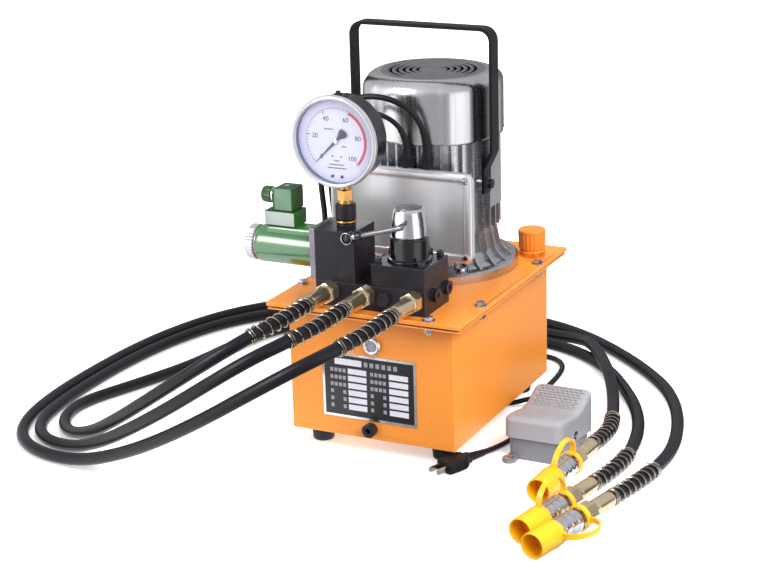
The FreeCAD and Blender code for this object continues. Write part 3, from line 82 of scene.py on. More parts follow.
HOSE_ONE = [
    (-45, -205, 200), (-46.5, -249.5, 198.5), (-60, -292.5, 193), (-89, -323, 175),
    (-130, -334, 147), (-182, -327, 111), (-245, -303, 68), (-307, -272, 29), (-362, -243, 9),
    (-398, -202), (-408, -146), (-376, -62), (-349, 20), (-338, 105), (-322, 175), (-286, 233),
    (-222, 272), (-135, 290), (-40, 291), (54, 279), (115, 253), (165, 209), (205, 155),
    (240, 98), (266, 34, 9), (282, -36, 12), (287, -103, 15), (276.5, -157, 15.2),
]
HOSE_TWO = [
    (1, -205, 200), (0, -252, 198.5), (-14, -299, 193), (-46, -334, 178), (-92, -347, 148),
    (-148, -343, 110), (-211, -325, 70), (-272, -301, 34), (-328, -283, 11), (-380, -268),
    (-415, -228), (-430, -168), (-437, -80), (-436, 15), (-424, 105), (-398, 185), (-352, 250),
    (-290, 293), (-210, 314), (-125, 318), (-40, 317), (40, 309, 8.5), (96, 285, 16),
    (128, 250, 25), (177, 171, 25), (203, 118, 15), (224, 60, 10.5), (241, 0, 12),
    (237.5, -52, 15.2),
]
HOSE_THREE = [
    (61, -205, 200), (60, -253, 198.5), (45, -302, 192), (12, -338, 176), (-38, -354, 146),
    (-104, -354, 104), (-176, -340, 62), (-241, -322, 30), (-300, -312, 10), (-360, -305),
    (-410, -274), (-440, -218), (-454, -140), (-458, -45), (-455, 55), (-440, 145), (-411, 225),
    (-365, 288), (-302, 334), (-225, 358), (-140, 365), (-50, 363), (32, 350), (95, 320),
    (152, 278), (205, 230), (256, 172), (290, 106), (312, 38), (325, -28, 10.5), (326, -86, 14),
    (319.5, -139, 15), (308, -187, 15.2),
]
MAINS = [
    (28, -37.2, 346), (27, -43, 374), (8, -52, 400), (-26, -57, 410), (-64, -56, 402),
    (-96, -53, 374), (-112, -45, 326), (-116, -31, 280), (-120, -16, 236), (-131, -6, 200),
    (-142, -2, 168), (-144, 0, 126), (-144, 4, 84), (-144, 16, 42), (-145, 44, 13), (-144, 84),
    (-141, 128), (-124, 166), (-90, 192), (-46, 208), (4, 222), (44, 236), (78, 236),
    (101, 214), (109, 175), (110, 130), (118, 88), (128, 48), (135, 6), (137, -38),
    (130, -84, 5.5), (114, -124, 8.2),
]
PEDAL_CABLE = [
    (2, -37.2, 346), (1, -43, 368), (-24, -46, 386), (-58, -45, 384), (-87, -43, 360),
    (-102, -38, 318), (-106, -25, 272), (-110, -11, 232), (-120, -2, 200), (-131, 2, 168),
    (-133, 3, 128), (-133, 6, 86), (-133, 14, 46), (-127, 28, 15), (-103, 42), (-60, 50),
    (-5, 54), (50, 51), (90, 55, 5), (113, 64, 13), (130, 72, 13), (152, 74, 4.5),
    (174, 62, 3.6), (181, 42, 8), (181, 24.5, 12),
]


def cord_curve(name, points, diameter, lying):
    curve = bpy.data.curves.new(name, "CURVE")
    curve.dimensions = "3D"
    spline = curve.splines.new("NURBS")
    spline.points.add(len(points) - 1)
    for point, spot in zip(spline.points, points):
        x, y, z = (*spot, lying)[:3]
        point.co = (x * MM, y * MM, z * MM, 1)
    spline.order_u = 3
    spline.use_endpoint_u = True
    curve.resolution_u = 14
    curve.bevel_depth = diameter * MM / 2
    curve.bevel_resolution = 8
    obj = bpy.data.objects.new(name, curve)
    SCENE.collection.objects.link(obj)
    return obj


def line_of(cord):
    """The points along a cord's own spline, in millimetres."""
    depth = cord.data.bevel_depth
    cord.data.bevel_depth = 0
    mesh = bpy.data.meshes.new_from_object(cord)
    cord.data.bevel_depth = depth
    points = [vertex.co / MM for vertex in mesh.vertices]
    bpy.data.meshes.remove(mesh)
    return points


CORDS = {name: cord_curve(name, *facts) for name, *facts in (
    ("hose_left", HOSE_ONE, 15, 7.6), ("hose_middle", HOSE_TWO, 15, 7.6),
    ("hose_right", HOSE_THREE, 15, 7.6), ("mains_lead", MAINS, 7, 4),
    ("pedal_lead", PEDAL_CABLE, 6, 3.2))}


# ---------------- materials

class Graph:
    """Short words for the nodes of one material, or of the world."""

    def __init__(self, owner, place="Object"):
        owner.use_nodes = True
        self.tree = owner.node_tree
        self.shader = self.tree.nodes.get("Principled BSDF")
        self.place = self.add("ShaderNodeTexCoord").outputs[place]

    def add(self, kind, sockets=None, **settings):
        node = self.tree.nodes.new(kind)
        for key, setting in settings.items():
            setattr(node, key, setting)
        self.fill(node, sockets or {})
        return node

    def join(self, source, target):
        """Link a node's output to a socket, or give the socket a constant."""
        if hasattr(source, "is_linked"):
            self.tree.links.new(source, target)
        else:
            target.default_value = (*source, 1) if isinstance(source, tuple) else source

    def fill(self, node, sockets):
        for key, source in sockets.items():
            self.join(source, node.inputs[key])

    def noise(self, scale, stretch=(1, 1, 1), detail=5.0):
        place = self.add("ShaderNodeMapping", {"Vector": self.place})
        place.inputs["Scale"].default_value = stretch
        return self.add("ShaderNodeTexNoise", {
            "Scale": scale, "Detail": detail, "Roughness": 0.55,
            "Vector": place.outputs["Vector"]}).outputs["Fac"]

    def ramp(self, factor, stops):
        node = self.add("ShaderNodeValToRGB", {"Fac": factor})
        elements = node.color_ramp.elements
        while len(elements) < len(stops):
            elements.new(1.0)
        for element, (spot, colour) in zip(elements, stops):
            element.position = spot
            element.color = (*colour, 1)
        return node.outputs["Color"]

    def mix(self, factor, first, second):
        return self.add("ShaderNodeMix", {"Factor": factor, "A": first, "B": second},
                        data_type="RGBA").outputs["Result"]

    def between(self, factor, low, high, start=0.3, stop=0.7):
        return self.add("ShaderNodeMapRange", {
            "From Min": start, "From Max": stop, "To Min": low, "To Max": high,
            "Value": factor}).outputs["Result"]

    def edge_wear(self):
        """Grows where a rounded normal leaves the true one, which is along sharp edges."""
        soft = self.add("ShaderNodeBevel", {"Radius": 0.9 * MM}, samples=4).outputs["Normal"]
        true = self.add("ShaderNodeNewGeometry").outputs["Normal"]
        turn = self.add("ShaderNodeVectorMath", {0: soft, 1: true}, operation="DOT_PRODUCT")
        wear = self.between(turn.outputs["Value"], 0.8, 0.0, 0.93, 0.995)
        return self.add("ShaderNodeMath", {0: wear, 1: self.between(self.noise(120), 0.2, 1.0)},
                        operation="MULTIPLY").outputs["Value"]

    def bump(self, height, strength, distance):
        relief = self.add("ShaderNodeBump", {"Strength": strength, "Distance": distance * MM,
                                             "Height": height})
        self.fill(self.shader, {"Normal": relief.outputs["Normal"]})

    def room(self):
        """The greys of the surroundings by compass direction."""
        around = self.add("ShaderNodeTexGradient", {"Vector": self.place},
                          gradient_type="RADIAL")
        return self.ramp(around.outputs["Fac"], greys(ROOM))


def greys(stops):
    return [(spot, (grey, grey, grey * 1.02)) for spot, grey in stops]


def scaled(colour, share):
    return tuple(min(1.0, channel * share) for channel in colour)


PAINTS = {}


def paint_graph(name):
    PAINTS[name] = bpy.data.materials.new(name)
    return Graph(PAINTS[name])


def finish(name, colour, rough=(0.35, 0.5), metal=0.0, spread=0.12, patch=14, grain=900,
           stretch=(1, 1, 1), bump=0.15, depth=0.05, worn=None, coat=0.0, coat_rough=0.1,
           specular=0.5, coat_ior=1.5):
    """A surface whose colour, gloss and relief all vary, at the scale of the real one."""
    graph = paint_graph(name)
    tint = graph.ramp(graph.noise(patch), [(0.3, scaled(colour, 1 - spread)),
                                           (0.7, scaled(colour, 1 + spread))])
    fine = graph.noise(grain, stretch, 3.0)
    tint = graph.mix(graph.between(fine, 0.0, 0.35), tint, scaled(colour, 1 - 2 * spread))
    if worn:
        tint = graph.mix(graph.edge_wear(), tint, worn)
    graph.fill(graph.shader, {
        "Base Color": tint, "Roughness": graph.between(fine, *rough), "Metallic": metal,
        "Coat Weight": coat, "Coat Roughness": coat_rough, "Coat IOR": coat_ior,
        "Specular IOR Level": specular})
    graph.bump(fine, bump, depth)


def glass(name):
    graph = paint_graph(name)
    smear = graph.noise(40)
    graph.fill(graph.shader, {
        "Roughness": graph.between(smear, 0.02, 0.06), "Alpha": 0.04,
        "Base Color": (0.96, 0.98, 1.0), "Specular IOR Level": 0.25})
    graph.bump(smear, 0.02, 0.05)


def streaked(name, dark, pale):
    """Polished aluminium: long soft streaks up the surface, partly real polish marks and partly
    painted reflection bands, and fine scratches.
    """
    graph = paint_graph(name)
    # the broad dark and pale streaks are partly painted reflection bands and partly polish marks
    tint = graph.ramp(graph.noise(7.0, (1, 1, 0.03), 2.0), [(0.38, dark), (0.6, pale)])
    scratch = graph.noise(260, (1, 1, 0.04), 4.0)
    tint = graph.mix(graph.between(scratch, 0.0, 0.3), tint, scaled(dark, 0.8))
    graph.fill(graph.shader, {
        "Base Color": tint, "Roughness": graph.between(scratch, 0.18, 0.32), "Metallic": 1.0})
    graph.bump(scratch, 0.08, 0.04)


finish("orange_paint", (0.88, 0.295, 0.04), (0.26, 0.34), spread=0.03, patch=5, grain=420,
       bump=0.03, depth=0.1, coat=0.06, specular=0.35, worn=(0.8, 0.36, 0.12))
finish("orange_plastic", (0.86, 0.24, 0.03), (0.3, 0.42), spread=0.06, grain=600, depth=0.06)
finish("black_rubber", (0.009, 0.009, 0.011), (0.45, 0.62), grain=700, specular=0.35)
finish("gasket_rubber", (0.02, 0.02, 0.02), (0.6, 0.8))
finish("zinc_steel", (0.62, 0.64, 0.68), (0.18, 0.34), 1.0, grain=500)
finish("bright_zinc", (0.78, 0.79, 0.84), (0.1, 0.26), 1.0, 0.18, 60, grain=420)
finish("white_zinc", (0.62, 0.62, 0.66), (0.16, 0.26), 0.7, 0.08, 30)
finish("plate_print", (0.012, 0.011, 0.013), (0.3, 0.42), spread=0.2)
finish("plate_white", (0.72, 0.70, 0.78), spread=0.05, patch=60)
finish("plate_grey", (0.34, 0.32, 0.36), spread=0.3, patch=900)
finish("brass", (0.88, 0.46, 0.14), (0.16, 0.3), 1.0, 0.15, 50, grain=420)
finish("cast_aluminium", (0.62, 0.63, 0.66), (0.22, 0.4), 1.0, 0.18, 18, grain=340, bump=0.3,
       depth=0.12)
streaked("pressed_aluminium", (0.6, 0.6, 0.62), (0.92, 0.92, 0.94))
# cowl_top is a darker copy of the cowl's aluminium for its flat top: painted shade
finish("cowl_top", (0.36, 0.36, 0.39), (0.25, 0.4), 1.0, 0.2, 30, grain=300)
finish("lamination", (0.2, 0.2, 0.21), (0.4, 0.6), 1.0, stretch=(0.02, 0.02, 1))
finish("copper", (0.72, 0.3, 0.14), (0.25, 0.4), 1.0, grain=300)
finish("steel", (0.5, 0.5, 0.52), (0.2, 0.36), 1.0)
finish("fan_plastic", (0.01, 0.01, 0.012), (0.4, 0.55))
finish("black_steel", (0.014, 0.012, 0.017), (0.26, 0.38), 0.0, 0.25, 25, grain=500, bump=0.12,
       worn=(0.13, 0.12, 0.15), specular=0.32)
finish("gloss_black", (0.007, 0.007, 0.009), (0.08, 0.16), spread=0.2, grain=500, bump=0.05,
       coat=0.4)
finish("grey_steel", (0.26, 0.25, 0.28), (0.22, 0.36), 0.8, 0.2, 25, grain=500, bump=0.1,
       worn=(0.4, 0.38, 0.42))
finish("coil_green", (0.018, 0.15, 0.024), (0.12, 0.2), spread=0.05, patch=10, grain=300,
       bump=0.03, coat=1.0, coat_rough=0.24, coat_ior=2.0)
finish("plug_green", (0.02, 0.085, 0.01), (0.2, 0.32), spread=0.15)
finish("pale_green", (0.15, 0.27, 0.17), (0.25, 0.4), spread=0.1, patch=60)
# seat_grey is a pale copy of the seat's green for its front face: painted light
finish("seat_grey", (0.42, 0.47, 0.44), (0.25, 0.4), spread=0.1, patch=60)
finish("chrome", (0.86, 0.87, 0.9), (0.03, 0.09), 1.0, 0.04, 20, bump=0.03)
finish("dial_white", (0.62, 0.62, 0.80), (0.4, 0.55), spread=0.03, patch=12, bump=0.05)
finish("dial_black", (0.008, 0.008, 0.02), spread=0.1)
finish("dial_red", (0.62, 0.012, 0.04), spread=0.08)
finish("dial_pink", (0.72, 0.40, 0.52), spread=0.08)
finish("needle_black", (0.012, 0.012, 0.03), spread=0.1)
glass("clear_glass")
finish("light_grey_plastic", (0.33, 0.325, 0.35), (0.32, 0.45), spread=0.04, grain=700,
       bump=0.25, depth=0.1)
finish("dark_grey_plastic", (0.19, 0.185, 0.215), spread=0.05, grain=700, bump=0.25, depth=0.1)
finish("handle_black", (0.006, 0.006, 0.008), (0.36, 0.48), spread=0.2, grain=420, bump=0.2,
       depth=0.1, specular=0.2)
finish("case_grey", (0.05, 0.048, 0.055), (0.16, 0.28), 0.7, 0.3, 16, grain=300)
# dark blue on the bezel's inner wall: painted shade
finish("dial_wall", (0.05, 0.055, 0.16), (0.3, 0.45), spread=0.15)
finish("window_grey", (0.3, 0.3, 0.34), (0.06, 0.12), spread=0.1, coat=0.5)
finish("lid_aluminium", (0.8, 0.8, 0.83), (0.28, 0.36), 0.72, 0.07, 12, grain=240,
       stretch=(1, 1, 0.06), bump=0.08, depth=0.05)
finish("hose_rubber", (0.006, 0.0055, 0.009), (0.3, 0.4), spread=0.2, grain=320, bump=0.2,
       depth=0.1, specular=0.36)
finish("gold_zinc", (0.86, 0.71, 0.48), (0.14, 0.26), 0.95, 0.16, 30, grain=420)
finish("spring_wire", (0.46, 0.41, 0.35), (0.12, 0.25), 1.0, 0.25, 60, grain=500)
finish("yellow_rubber", (0.93, 0.49, 0.01), (0.3, 0.42), spread=0.05, grain=420, bump=0.12,
       depth=0.08, coat=0.15)
finish("black_pvc", (0.008, 0.008, 0.010), (0.34, 0.46), spread=0.2, grain=500, specular=0.35)


# ---------------- mesh helpers

def basis(heading, turn=0.0):
    """Two directions across a heading and the heading itself."""
    along = Vector(heading).normalized()
    level = Vector((1, 0, 0)) if abs(along.z) > 0.9 else UP.cross(along)
    first = level.normalized()
    first.rotate(Matrix.Rotation(turn, 3, along))
    return first, along.cross(first), along


def lathe(bm, profile, at=(0, 0, 0), heading=UP, steps=48, ring=False, turn=0.0):
    """Turn a profile of (radius, height) about a heading. A radius may depend on the angle."""
    first, second, along = basis(heading, turn)
    at = Vector(at)
    rows = []
    for radius, height in profile:
        if not callable(radius) and radius < 1e-6:
            rows.append([bm.verts.new(at + along * height)])
            continue
        row = []
        for i in range(steps):
            angle = 2 * math.pi * i / steps
            size = radius(angle) if callable(radius) else radius
            level = height(angle) if callable(height) else height
            row.append(bm.verts.new(at + along * level + first * math.cos(angle) * size
                                    + second * math.sin(angle) * size))
        rows.append(row)
    pairs = list(zip(rows, rows[1:]))
    if ring:
        pairs.append((rows[-1], rows[0]))
    for low, high in pairs:
        for i in range(steps):
            j = (i + 1) % steps
            if len(low) == 1:
                bm.faces.new((low[0], high[j], high[i]))
            elif len(high) == 1:
                bm.faces.new((low[i], low[j], high[0]))
            else:
                bm.faces.new((low[i], low[j], high[j], high[i]))


def eased(profile, size=0.6):
    """The same profile with each corner rounded a little."""
    soft = [profile[0]]
    for before, corner, after in zip(profile, profile[1:], profile[2:]):
        a, p, b = (Vector((*spot, 0)) for spot in (before, corner, after))
        back, ahead = a - p, b - p
        reach = min(size, 0.45 * back.length, 0.45 * ahead.length)
        start, stop = p + back.normalized() * reach, p + ahead.normalized() * reach
        middle = start * 0.25 + p * 0.5 + stop * 0.25
        soft += [(spot.x, spot.y) for spot in (start, middle, stop)]
    return soft + [profile[-1]]


def drum(radius, length, ease=0.6, start=0.0):
    """The profile of a solid disc or rod."""
    return eased([(0, start), (radius, start), (radius, start + length), (0, start + length)],
                 ease)


def hexagon(flat):
    """Distance from the middle of a hexagon to its side, by angle."""
    return lambda angle: flat / math.cos((angle + math.pi / 6) % (math.pi / 3) - math.pi / 6)


def ridged(size, count, depth=0.35):
    """A radius that waves, for grips and knurls."""
    return lambda angle: size + depth * math.cos(count * angle)


def hex_bar(bm, at, heading, circumradius, length, turn=0.0, start=0.0):
    """A hexagon nut or head with the turned chamfer at both ends."""
    flat = circumradius * math.cos(math.pi / 6)
    inner, end, across = flat * 0.95, start + length, hexagon(flat)

    def cut(angle):
        return (across(angle) - inner) * 0.5

    lathe(bm, [(0, start), (inner, start), (across, lambda angle: start + cut(angle)),
               (across, lambda angle: end - cut(angle)), (inner, end), (0, end)],
          at, heading, 72, turn=turn)


def block(bm, low, high, bevel=0.8, segments=2):
    low, high = Vector(low), Vector(high)
    corners = bmesh.ops.create_cube(bm, size=1)["verts"]
    for vert in corners:
        vert.co = Vector([(low[k] + high[k]) / 2 + vert.co[k] * (high[k] - low[k])
                          for k in range(3)])
    if bevel:
        edges = list({edge for vert in corners for edge in vert.link_edges})
        bmesh.ops.bevel(bm, geom=edges, offset=bevel, segments=segments, profile=0.5,
                        affect="EDGES", clamp_overlap=True)


def slab(bm, outline, at, across, upward, thick, bevel=0.5):
    """A flat outline given thickness along across x upward."""
    at, across, upward = Vector(at), Vector(across), Vector(upward)
    normal = across.cross(upward).normalized()
    verts = [bm.verts.new(at + across * a + upward * b) for a, b in outline]
    face = bm.faces.new(verts)
    moved = bmesh.ops.extrude_face_region(bm, geom=[face])["geom"]
    bmesh.ops.translate(bm, vec=normal * thick,
                        verts=[item for item in moved if isinstance(item, bmesh.types.BMVert)])
    if bevel:
        tops = [item for item in moved if isinstance(item, bmesh.types.BMEdge)]
        bmesh.ops.bevel(bm, geom=tops, offset=bevel, segments=2, profile=0.5, affect="EDGES",
                        clamp_overlap=True)


def round_rect(width, height, radius, steps=6):
    """An outline centred on zero."""
    spots = []
    for corner in range(4):
        cx = (width / 2 - radius) * (1 if corner in (0, 3) else -1)
        cy = (height / 2 - radius) * (1 if corner in (0, 1) else -1)
        for i in range(steps + 1):
            angle = math.pi / 2 * (corner + i / steps)
            spots.append((cx + radius * math.cos(angle), cy + radius * math.sin(angle)))
    return spots


def carried(first, along):
    """A direction across a line, turned as little as can be from the one before it."""
    across = along.orthogonal() if first is None else first - along * first.dot(along)
    return across.normalized()


def skin(bm, loops):
    """Faces between closed loops of vertices, and over the first and the last."""
    for low, high in zip(loops, loops[1:]):
        for i in range(len(low)):
            j = (i + 1) % len(low)
            bm.faces.new((low[i], low[j], high[j], high[i]))
    bm.faces.new(loops[0][::-1])
    bm.faces.new(loops[-1])


def sweep(bm, path, section, side=None, scale=None):
    """Carry a closed section along a path. side fixes the section's first direction."""
    path = [Vector(spot) for spot in path]
    rows, first = [], side
    for i, spot in enumerate(path):
        along = (path[min(i + 1, len(path) - 1)] - path[max(i - 1, 0)]).normalized()
        if side is None:
            first = carried(first, along)
        second = along.cross(first)
        size = scale(i / (len(path) - 1)) if scale else 1.0
        rows.append([bm.verts.new(spot + first * a * size + second * b * size)
                     for a, b in section])
    skin(bm, rows)


def disc_section(radius, steps):
    angles = [2 * math.pi * i / steps for i in range(steps)]
    return [(radius * math.cos(angle), radius * math.sin(angle)) for angle in angles]


def finished(bm, name, paint, node=None, body="unit", slot=None, sharp=32):
    """Turn a mesh in progress into a piece that hides and takes the place of the node it
    replaces.
    """
    bmesh.ops.recalc_face_normals(bm, faces=bm.faces)
    bmesh.ops.scale(bm, vec=(MM, MM, MM), verts=bm.verts)
    mesh = bpy.data.meshes.new(name)
    bm.to_mesh(mesh)
    bm.free()
    mesh.shade_smooth()
    mesh.set_sharp_from_angle(angle=math.radians(sharp))
    mesh.materials.append(PAINTS[paint])
    obj = bpy.data.objects.new(name, mesh)
    SCENE.collection.objects.link(obj)
    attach(obj, body)
    if node:
        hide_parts(node)
    return obj


def turned(name, paint, node, at, heading, steps, *shapes, **where):
    """A piece turned round one axis. Each shape is its corners' ease and then its profile."""
    bm = bmesh.new()
    for ease, *profile in shapes:
        lathe(bm, eased(profile, ease) if ease else profile, at, heading, steps)
    return finished(bm, name, paint, node, **where)


def boxed(name, paint, node, low, high, bevel, slot=None):
    bm = bmesh.new()
    block(bm, low, high, bevel)
    return finished(bm, name, paint, node, slot=slot)


def soften(node, width=0.8, segments=2):
    """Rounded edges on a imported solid, which keeps its own mesh."""
    obj = NODES[node]
    weld = obj.modifiers.new("weld", "WELD")
    weld.merge_threshold = 0.00001
    bevel = obj.modifiers.new("bevel", "BEVEL")
    bevel.width = width * MM
    bevel.segments = segments
    bevel.limit_method = "ANGLE"
    bevel.angle_limit = math.radians(35)
    bevel.harden_normals = True
    bevel.use_clamp_overlap = True


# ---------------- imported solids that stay

SLOTS = {part["node"]: part["material_slot"] for part in frame["record"]["subparts"]}
for node, slot in SLOTS.items():
    solid = NODES[node]
    solid.data.materials.clear()
    solid.data.materials.append(PAINTS[slot])
for node, width in (("oil_tank", 0.8), ("cover_plate", 0.7), ("manifold_block", 0.9),
                    ("valve_block", 0.9), ("valve_plate", 0.7), ("relief_block", 0.9),
                    ("foot_switch_base", 0.8), ("terminal_box_base", 0.6)):
    soften(node, width)


# ---------------- hoses and leads

def point_at(points, distance, back=False):
    """The point and direction this far along a line, from either end."""
    if back:
        points = points[::-1]
    for a, b in zip(points, points[1:]):
        step = (b - a).length
        if step >= distance:
            return a + (b - a) * (distance / step), (b - a).normalized()
        distance -= step
    return points[-1], (points[-1] - points[-2]).normalized()


def spring(name, points, back):
    """Coil spring round the end of a hose, closed for two turns at each end."""
    closed, opened, pitch, span = 2.2, 8.0, 2.3, 98.0
    radius, wire, gap, steps = 8.85, 0.95, 2.0, 20
    open_pitch = (span - 2 * closed * pitch) / opened
    turns = 2 * closed + opened
    count = int(turns * steps)
    path, first = [], None
    for i in range(count + 1):
        turn = turns * i / count
        gone = min(turn, closed) * pitch + max(0.0, min(turn - closed, opened)) * open_pitch \
            + max(0.0, turn - closed - opened) * pitch
        spot, along = point_at(points, gap + gone, back)
        first = carried(first, along)
        second = along.cross(first)
        angle = 2 * math.pi * turn
        path.append(spot + (first * math.cos(angle) + second * math.sin(angle)) * radius)
    bm = bmesh.new()
    sweep(bm, path, disc_section(wire, 8))
    return finished(bm, name, "spring_wire", "spring_guards")


def port_fitting(name, x, z):
    """Hose end at the manifold: hexagon nut, then a crimped sleeve."""
    bm = bmesh.new()
    at = (x, -149.5, z)
    hex_bar(bm, at, FRONT, 12.6, 15.5)
    lathe(bm, eased([(9.5, 15), (10.4, 15.5), (10.4, 17), (9.2, 18), (9.5, 20), (9.5, 52),
                     (8.9, 54.5), (8.9, 55.5), (7.6, 55.5)], 0.5), at, FRONT)
    lathe(bm, drum(8.2, 1.5, 0.2, -0.2), at, FRONT)
    return finished(bm, name, "gold_zinc", "manifold_fittings")


def coupler_chain(name, last, heading, lean):
    """The far end of a hose: sleeve, nut, quick coupler and its dust cap."""
    bm = bmesh.new()
    lathe(bm, eased([(7.6, 0), (8.9, 0), (8.9, 1), (9.5, 3), (9.5, 30), (8.6, 31), (8.6, 33),
                     (9.6, 34), (9.6, 37), (8, 37.2)], 0.5), last, heading)
    hex_bar(bm, last, heading, 12.6, 22.5, math.pi / 6, 37.3)
    pieces = [finished(bm, name + "_fitting", "gold_zinc", "coupler_fittings")]
    groove = [(0, 59.5), (10.8, 59.5), (10.8, 67), (12, 68)]
    for low in (69.5, 80.5):
        groove += [(13.4, low), (13.4, low + 5.5), (12.2, low + 7), (12.2, low + 9.5)]
    groove += [(13.4, 91.5), (13.4, 98), (11.5, 100), (11.5, 105), (0, 105)]
    pieces.append(turned(name + "_coupler", "bright_zinc", "couplers", last, heading, 64,
                         (0.8, *groove)))
    bm = bmesh.new()
    lathe(bm, eased([(0, 104), (13.6, 104), (14.4, 105), (14.4, 144.6), (13.9, 145.8),
                     (12.9, 145.8), (12.4, 145), (12.4, 124.5), (11, 124), (0, 124)], 0.7),
          last, heading, 64)
    lathe(bm, eased([(14.45, 109), (14.9, 110), (14.9, 112), (14.45, 113)], 0.3), last,
          heading, 64)
    lathe(bm, [(12.8, 56.2), (14.5, 56.4), (14.7, 59.5), (14.5, 62.6), (12.8, 62.8)], last,
          heading, 48, ring=True)
    lean = math.radians(lean)
    out = (UP * math.cos(lean) + heading.cross(UP) * math.sin(lean)).normalized()
    hinge = out.cross(heading).normalized()
    base, steps = last + heading * 84 + out * 13.2, 32
    path = []
    for i in range(steps + 1):
        angle = math.pi * i / steps
        reach = 25.4 + 0.5 * math.sin(3 * angle)
        path.append(base + (heading * -math.cos(angle) + out * math.sin(angle)) * reach)
    # the strap is narrower in the middle and swells into its two tabs
    half, thick = 3.4, 1.0
    section = [(-half, -thick), (half, -thick), (half + 0.1, 0), (half, thick), (-half, thick),
               (-half - 0.1, 0)]
    sweep(bm, path, section, hinge, lambda t: 1.0 - 0.18 * math.sin(math.pi * t))
    pieces.append(finished(bm, name + "_cap", "yellow_rubber", "dust_caps"))
    # darker orange disc at the bottom of the cap's recess: painted shade
    pieces.append(turned(name + "_cap_floor_painted_shade", "orange_plastic", "dust_caps", last, heading, 48,
                         (0.2, (0, 124.6), (12.2, 124.6), (12.2, 125.4), (0, 125.2))))
    return pieces


def hose_set(key, node, lean):
    cord = CORDS[key]
    cord.data.materials.append(PAINTS["hose_rubber"])
    points = line_of(cord)
    start = Vector(points[0])
    last = Vector(points[-1])
    heading = last - points[-2]
    heading.z = 0
    heading.normalize()
    pieces = [port_fitting(key + "_port_fitting", start.x, start.z),
              spring(key + "_near_spring", points, False),
              spring(key + "_far_spring", points, True)]
    pieces += coupler_chain(key, last, heading, lean)
    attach(cord, "unit")
    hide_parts(node)


hose_set("hose_left", "hose_1", 0)
hose_set("hose_middle", "hose_2", -8)
hose_set("hose_right", "hose_3", -84)


def tapered(name, points, low, high, length):
    """Moulded strain relief that follows the first part of a lead."""
    path = [point_at(points, length * i / 24)[0] for i in range(25)]
    bm = bmesh.new()

    def size(share):
        groove = 0.9 if int(share * 12) % 2 and share < 0.9 else 1.0
        return (low + (high - low) * share) * groove

    sweep(bm, path, disc_section(1.0, 24), scale=size)
    return finished(bm, name, "black_rubber", slot="black_rubber")


def mains_plug():
    """Two-pin moulded plug lying at the end of the mains lead."""
    last = line_of(CORDS["mains_lead"])[-1]
    heading = Vector((-16, -40, 0)).normalized()
    across = UP.cross(heading)
    bm = bmesh.new()
    loops = []
    for gone, half, tall in ((-1, 5.2, 5.2), (0.5, 6.2, 5.6), (6, 6.6, 6.0), (8, 9.5, 7.2),
                             (13, 12.4, 7.9), (24, 12.9, 8.0), (36, 12.5, 7.8),
                             (39.2, 12.1, 7.4), (40, 11.2, 6.6)):
        shape = round_rect(2 * half, 2 * tall, min(half, tall) * 0.55, 4)
        loops.append([bm.verts.new(last + heading * gone + across * a + UP * b)
                      for a, b in shape])
    skin(bm, loops)
    for gone in (15, 18.5, 22, 25.5, 29):
        for hand in (-1, 1):
            middle = last + heading * gone + across * 12.6 * hand
            slab(bm, [(-0.8, -5), (0.8, -5), (0.8, 5), (-0.8, 5)],
                 middle, heading * hand, UP, -0.7, 0.25)
    body = finished(bm, "mains_plug_body", "black_rubber", "mains_plug")
    bm = bmesh.new()
    for hand in (-1, 1):
        middle = last + heading * 39.5 + across * (6.35 * hand - 0.75)
        slab(bm, [(0, -3.1), (15.5, -3.1), (17.5, -2), (17.5, 2), (15.5, 3.1), (0, 3.1)],
             middle, heading, UP, -1.5, 0.2)
    return [body, finished(bm, "mains_plug_pins", "bright_zinc", "mains_plug")]


def leads():
    for key, node, diameter, length, far in (
            ("mains_lead", "mains_cable", 0.007, 1.277, "plug"),
            ("pedal_lead", "foot_cable", 0.006, 0.834, "object")):
        cord = CORDS[key]
        cord.data.materials.append(PAINTS["black_pvc"])
        points = line_of(cord)
        pieces = [tapered(key + "_relief", points, 1.62 * diameter / 2 / MM,
                          1.12 * diameter / 2 / MM, 24)]
        if far == "plug":
            pieces += mains_plug()
            pieces.append(tapered(key + "_plug_relief", points[::-1], 5.4, 3.9, 24))
        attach(cord, "unit")
        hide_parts(node)


leads()


# ---------------- tank details

TANK_FRONT = -144
COVER_TOP = 181


def spots(near, far):
    return [(x, y) for x in (-near, near) for y in (-far, far)]


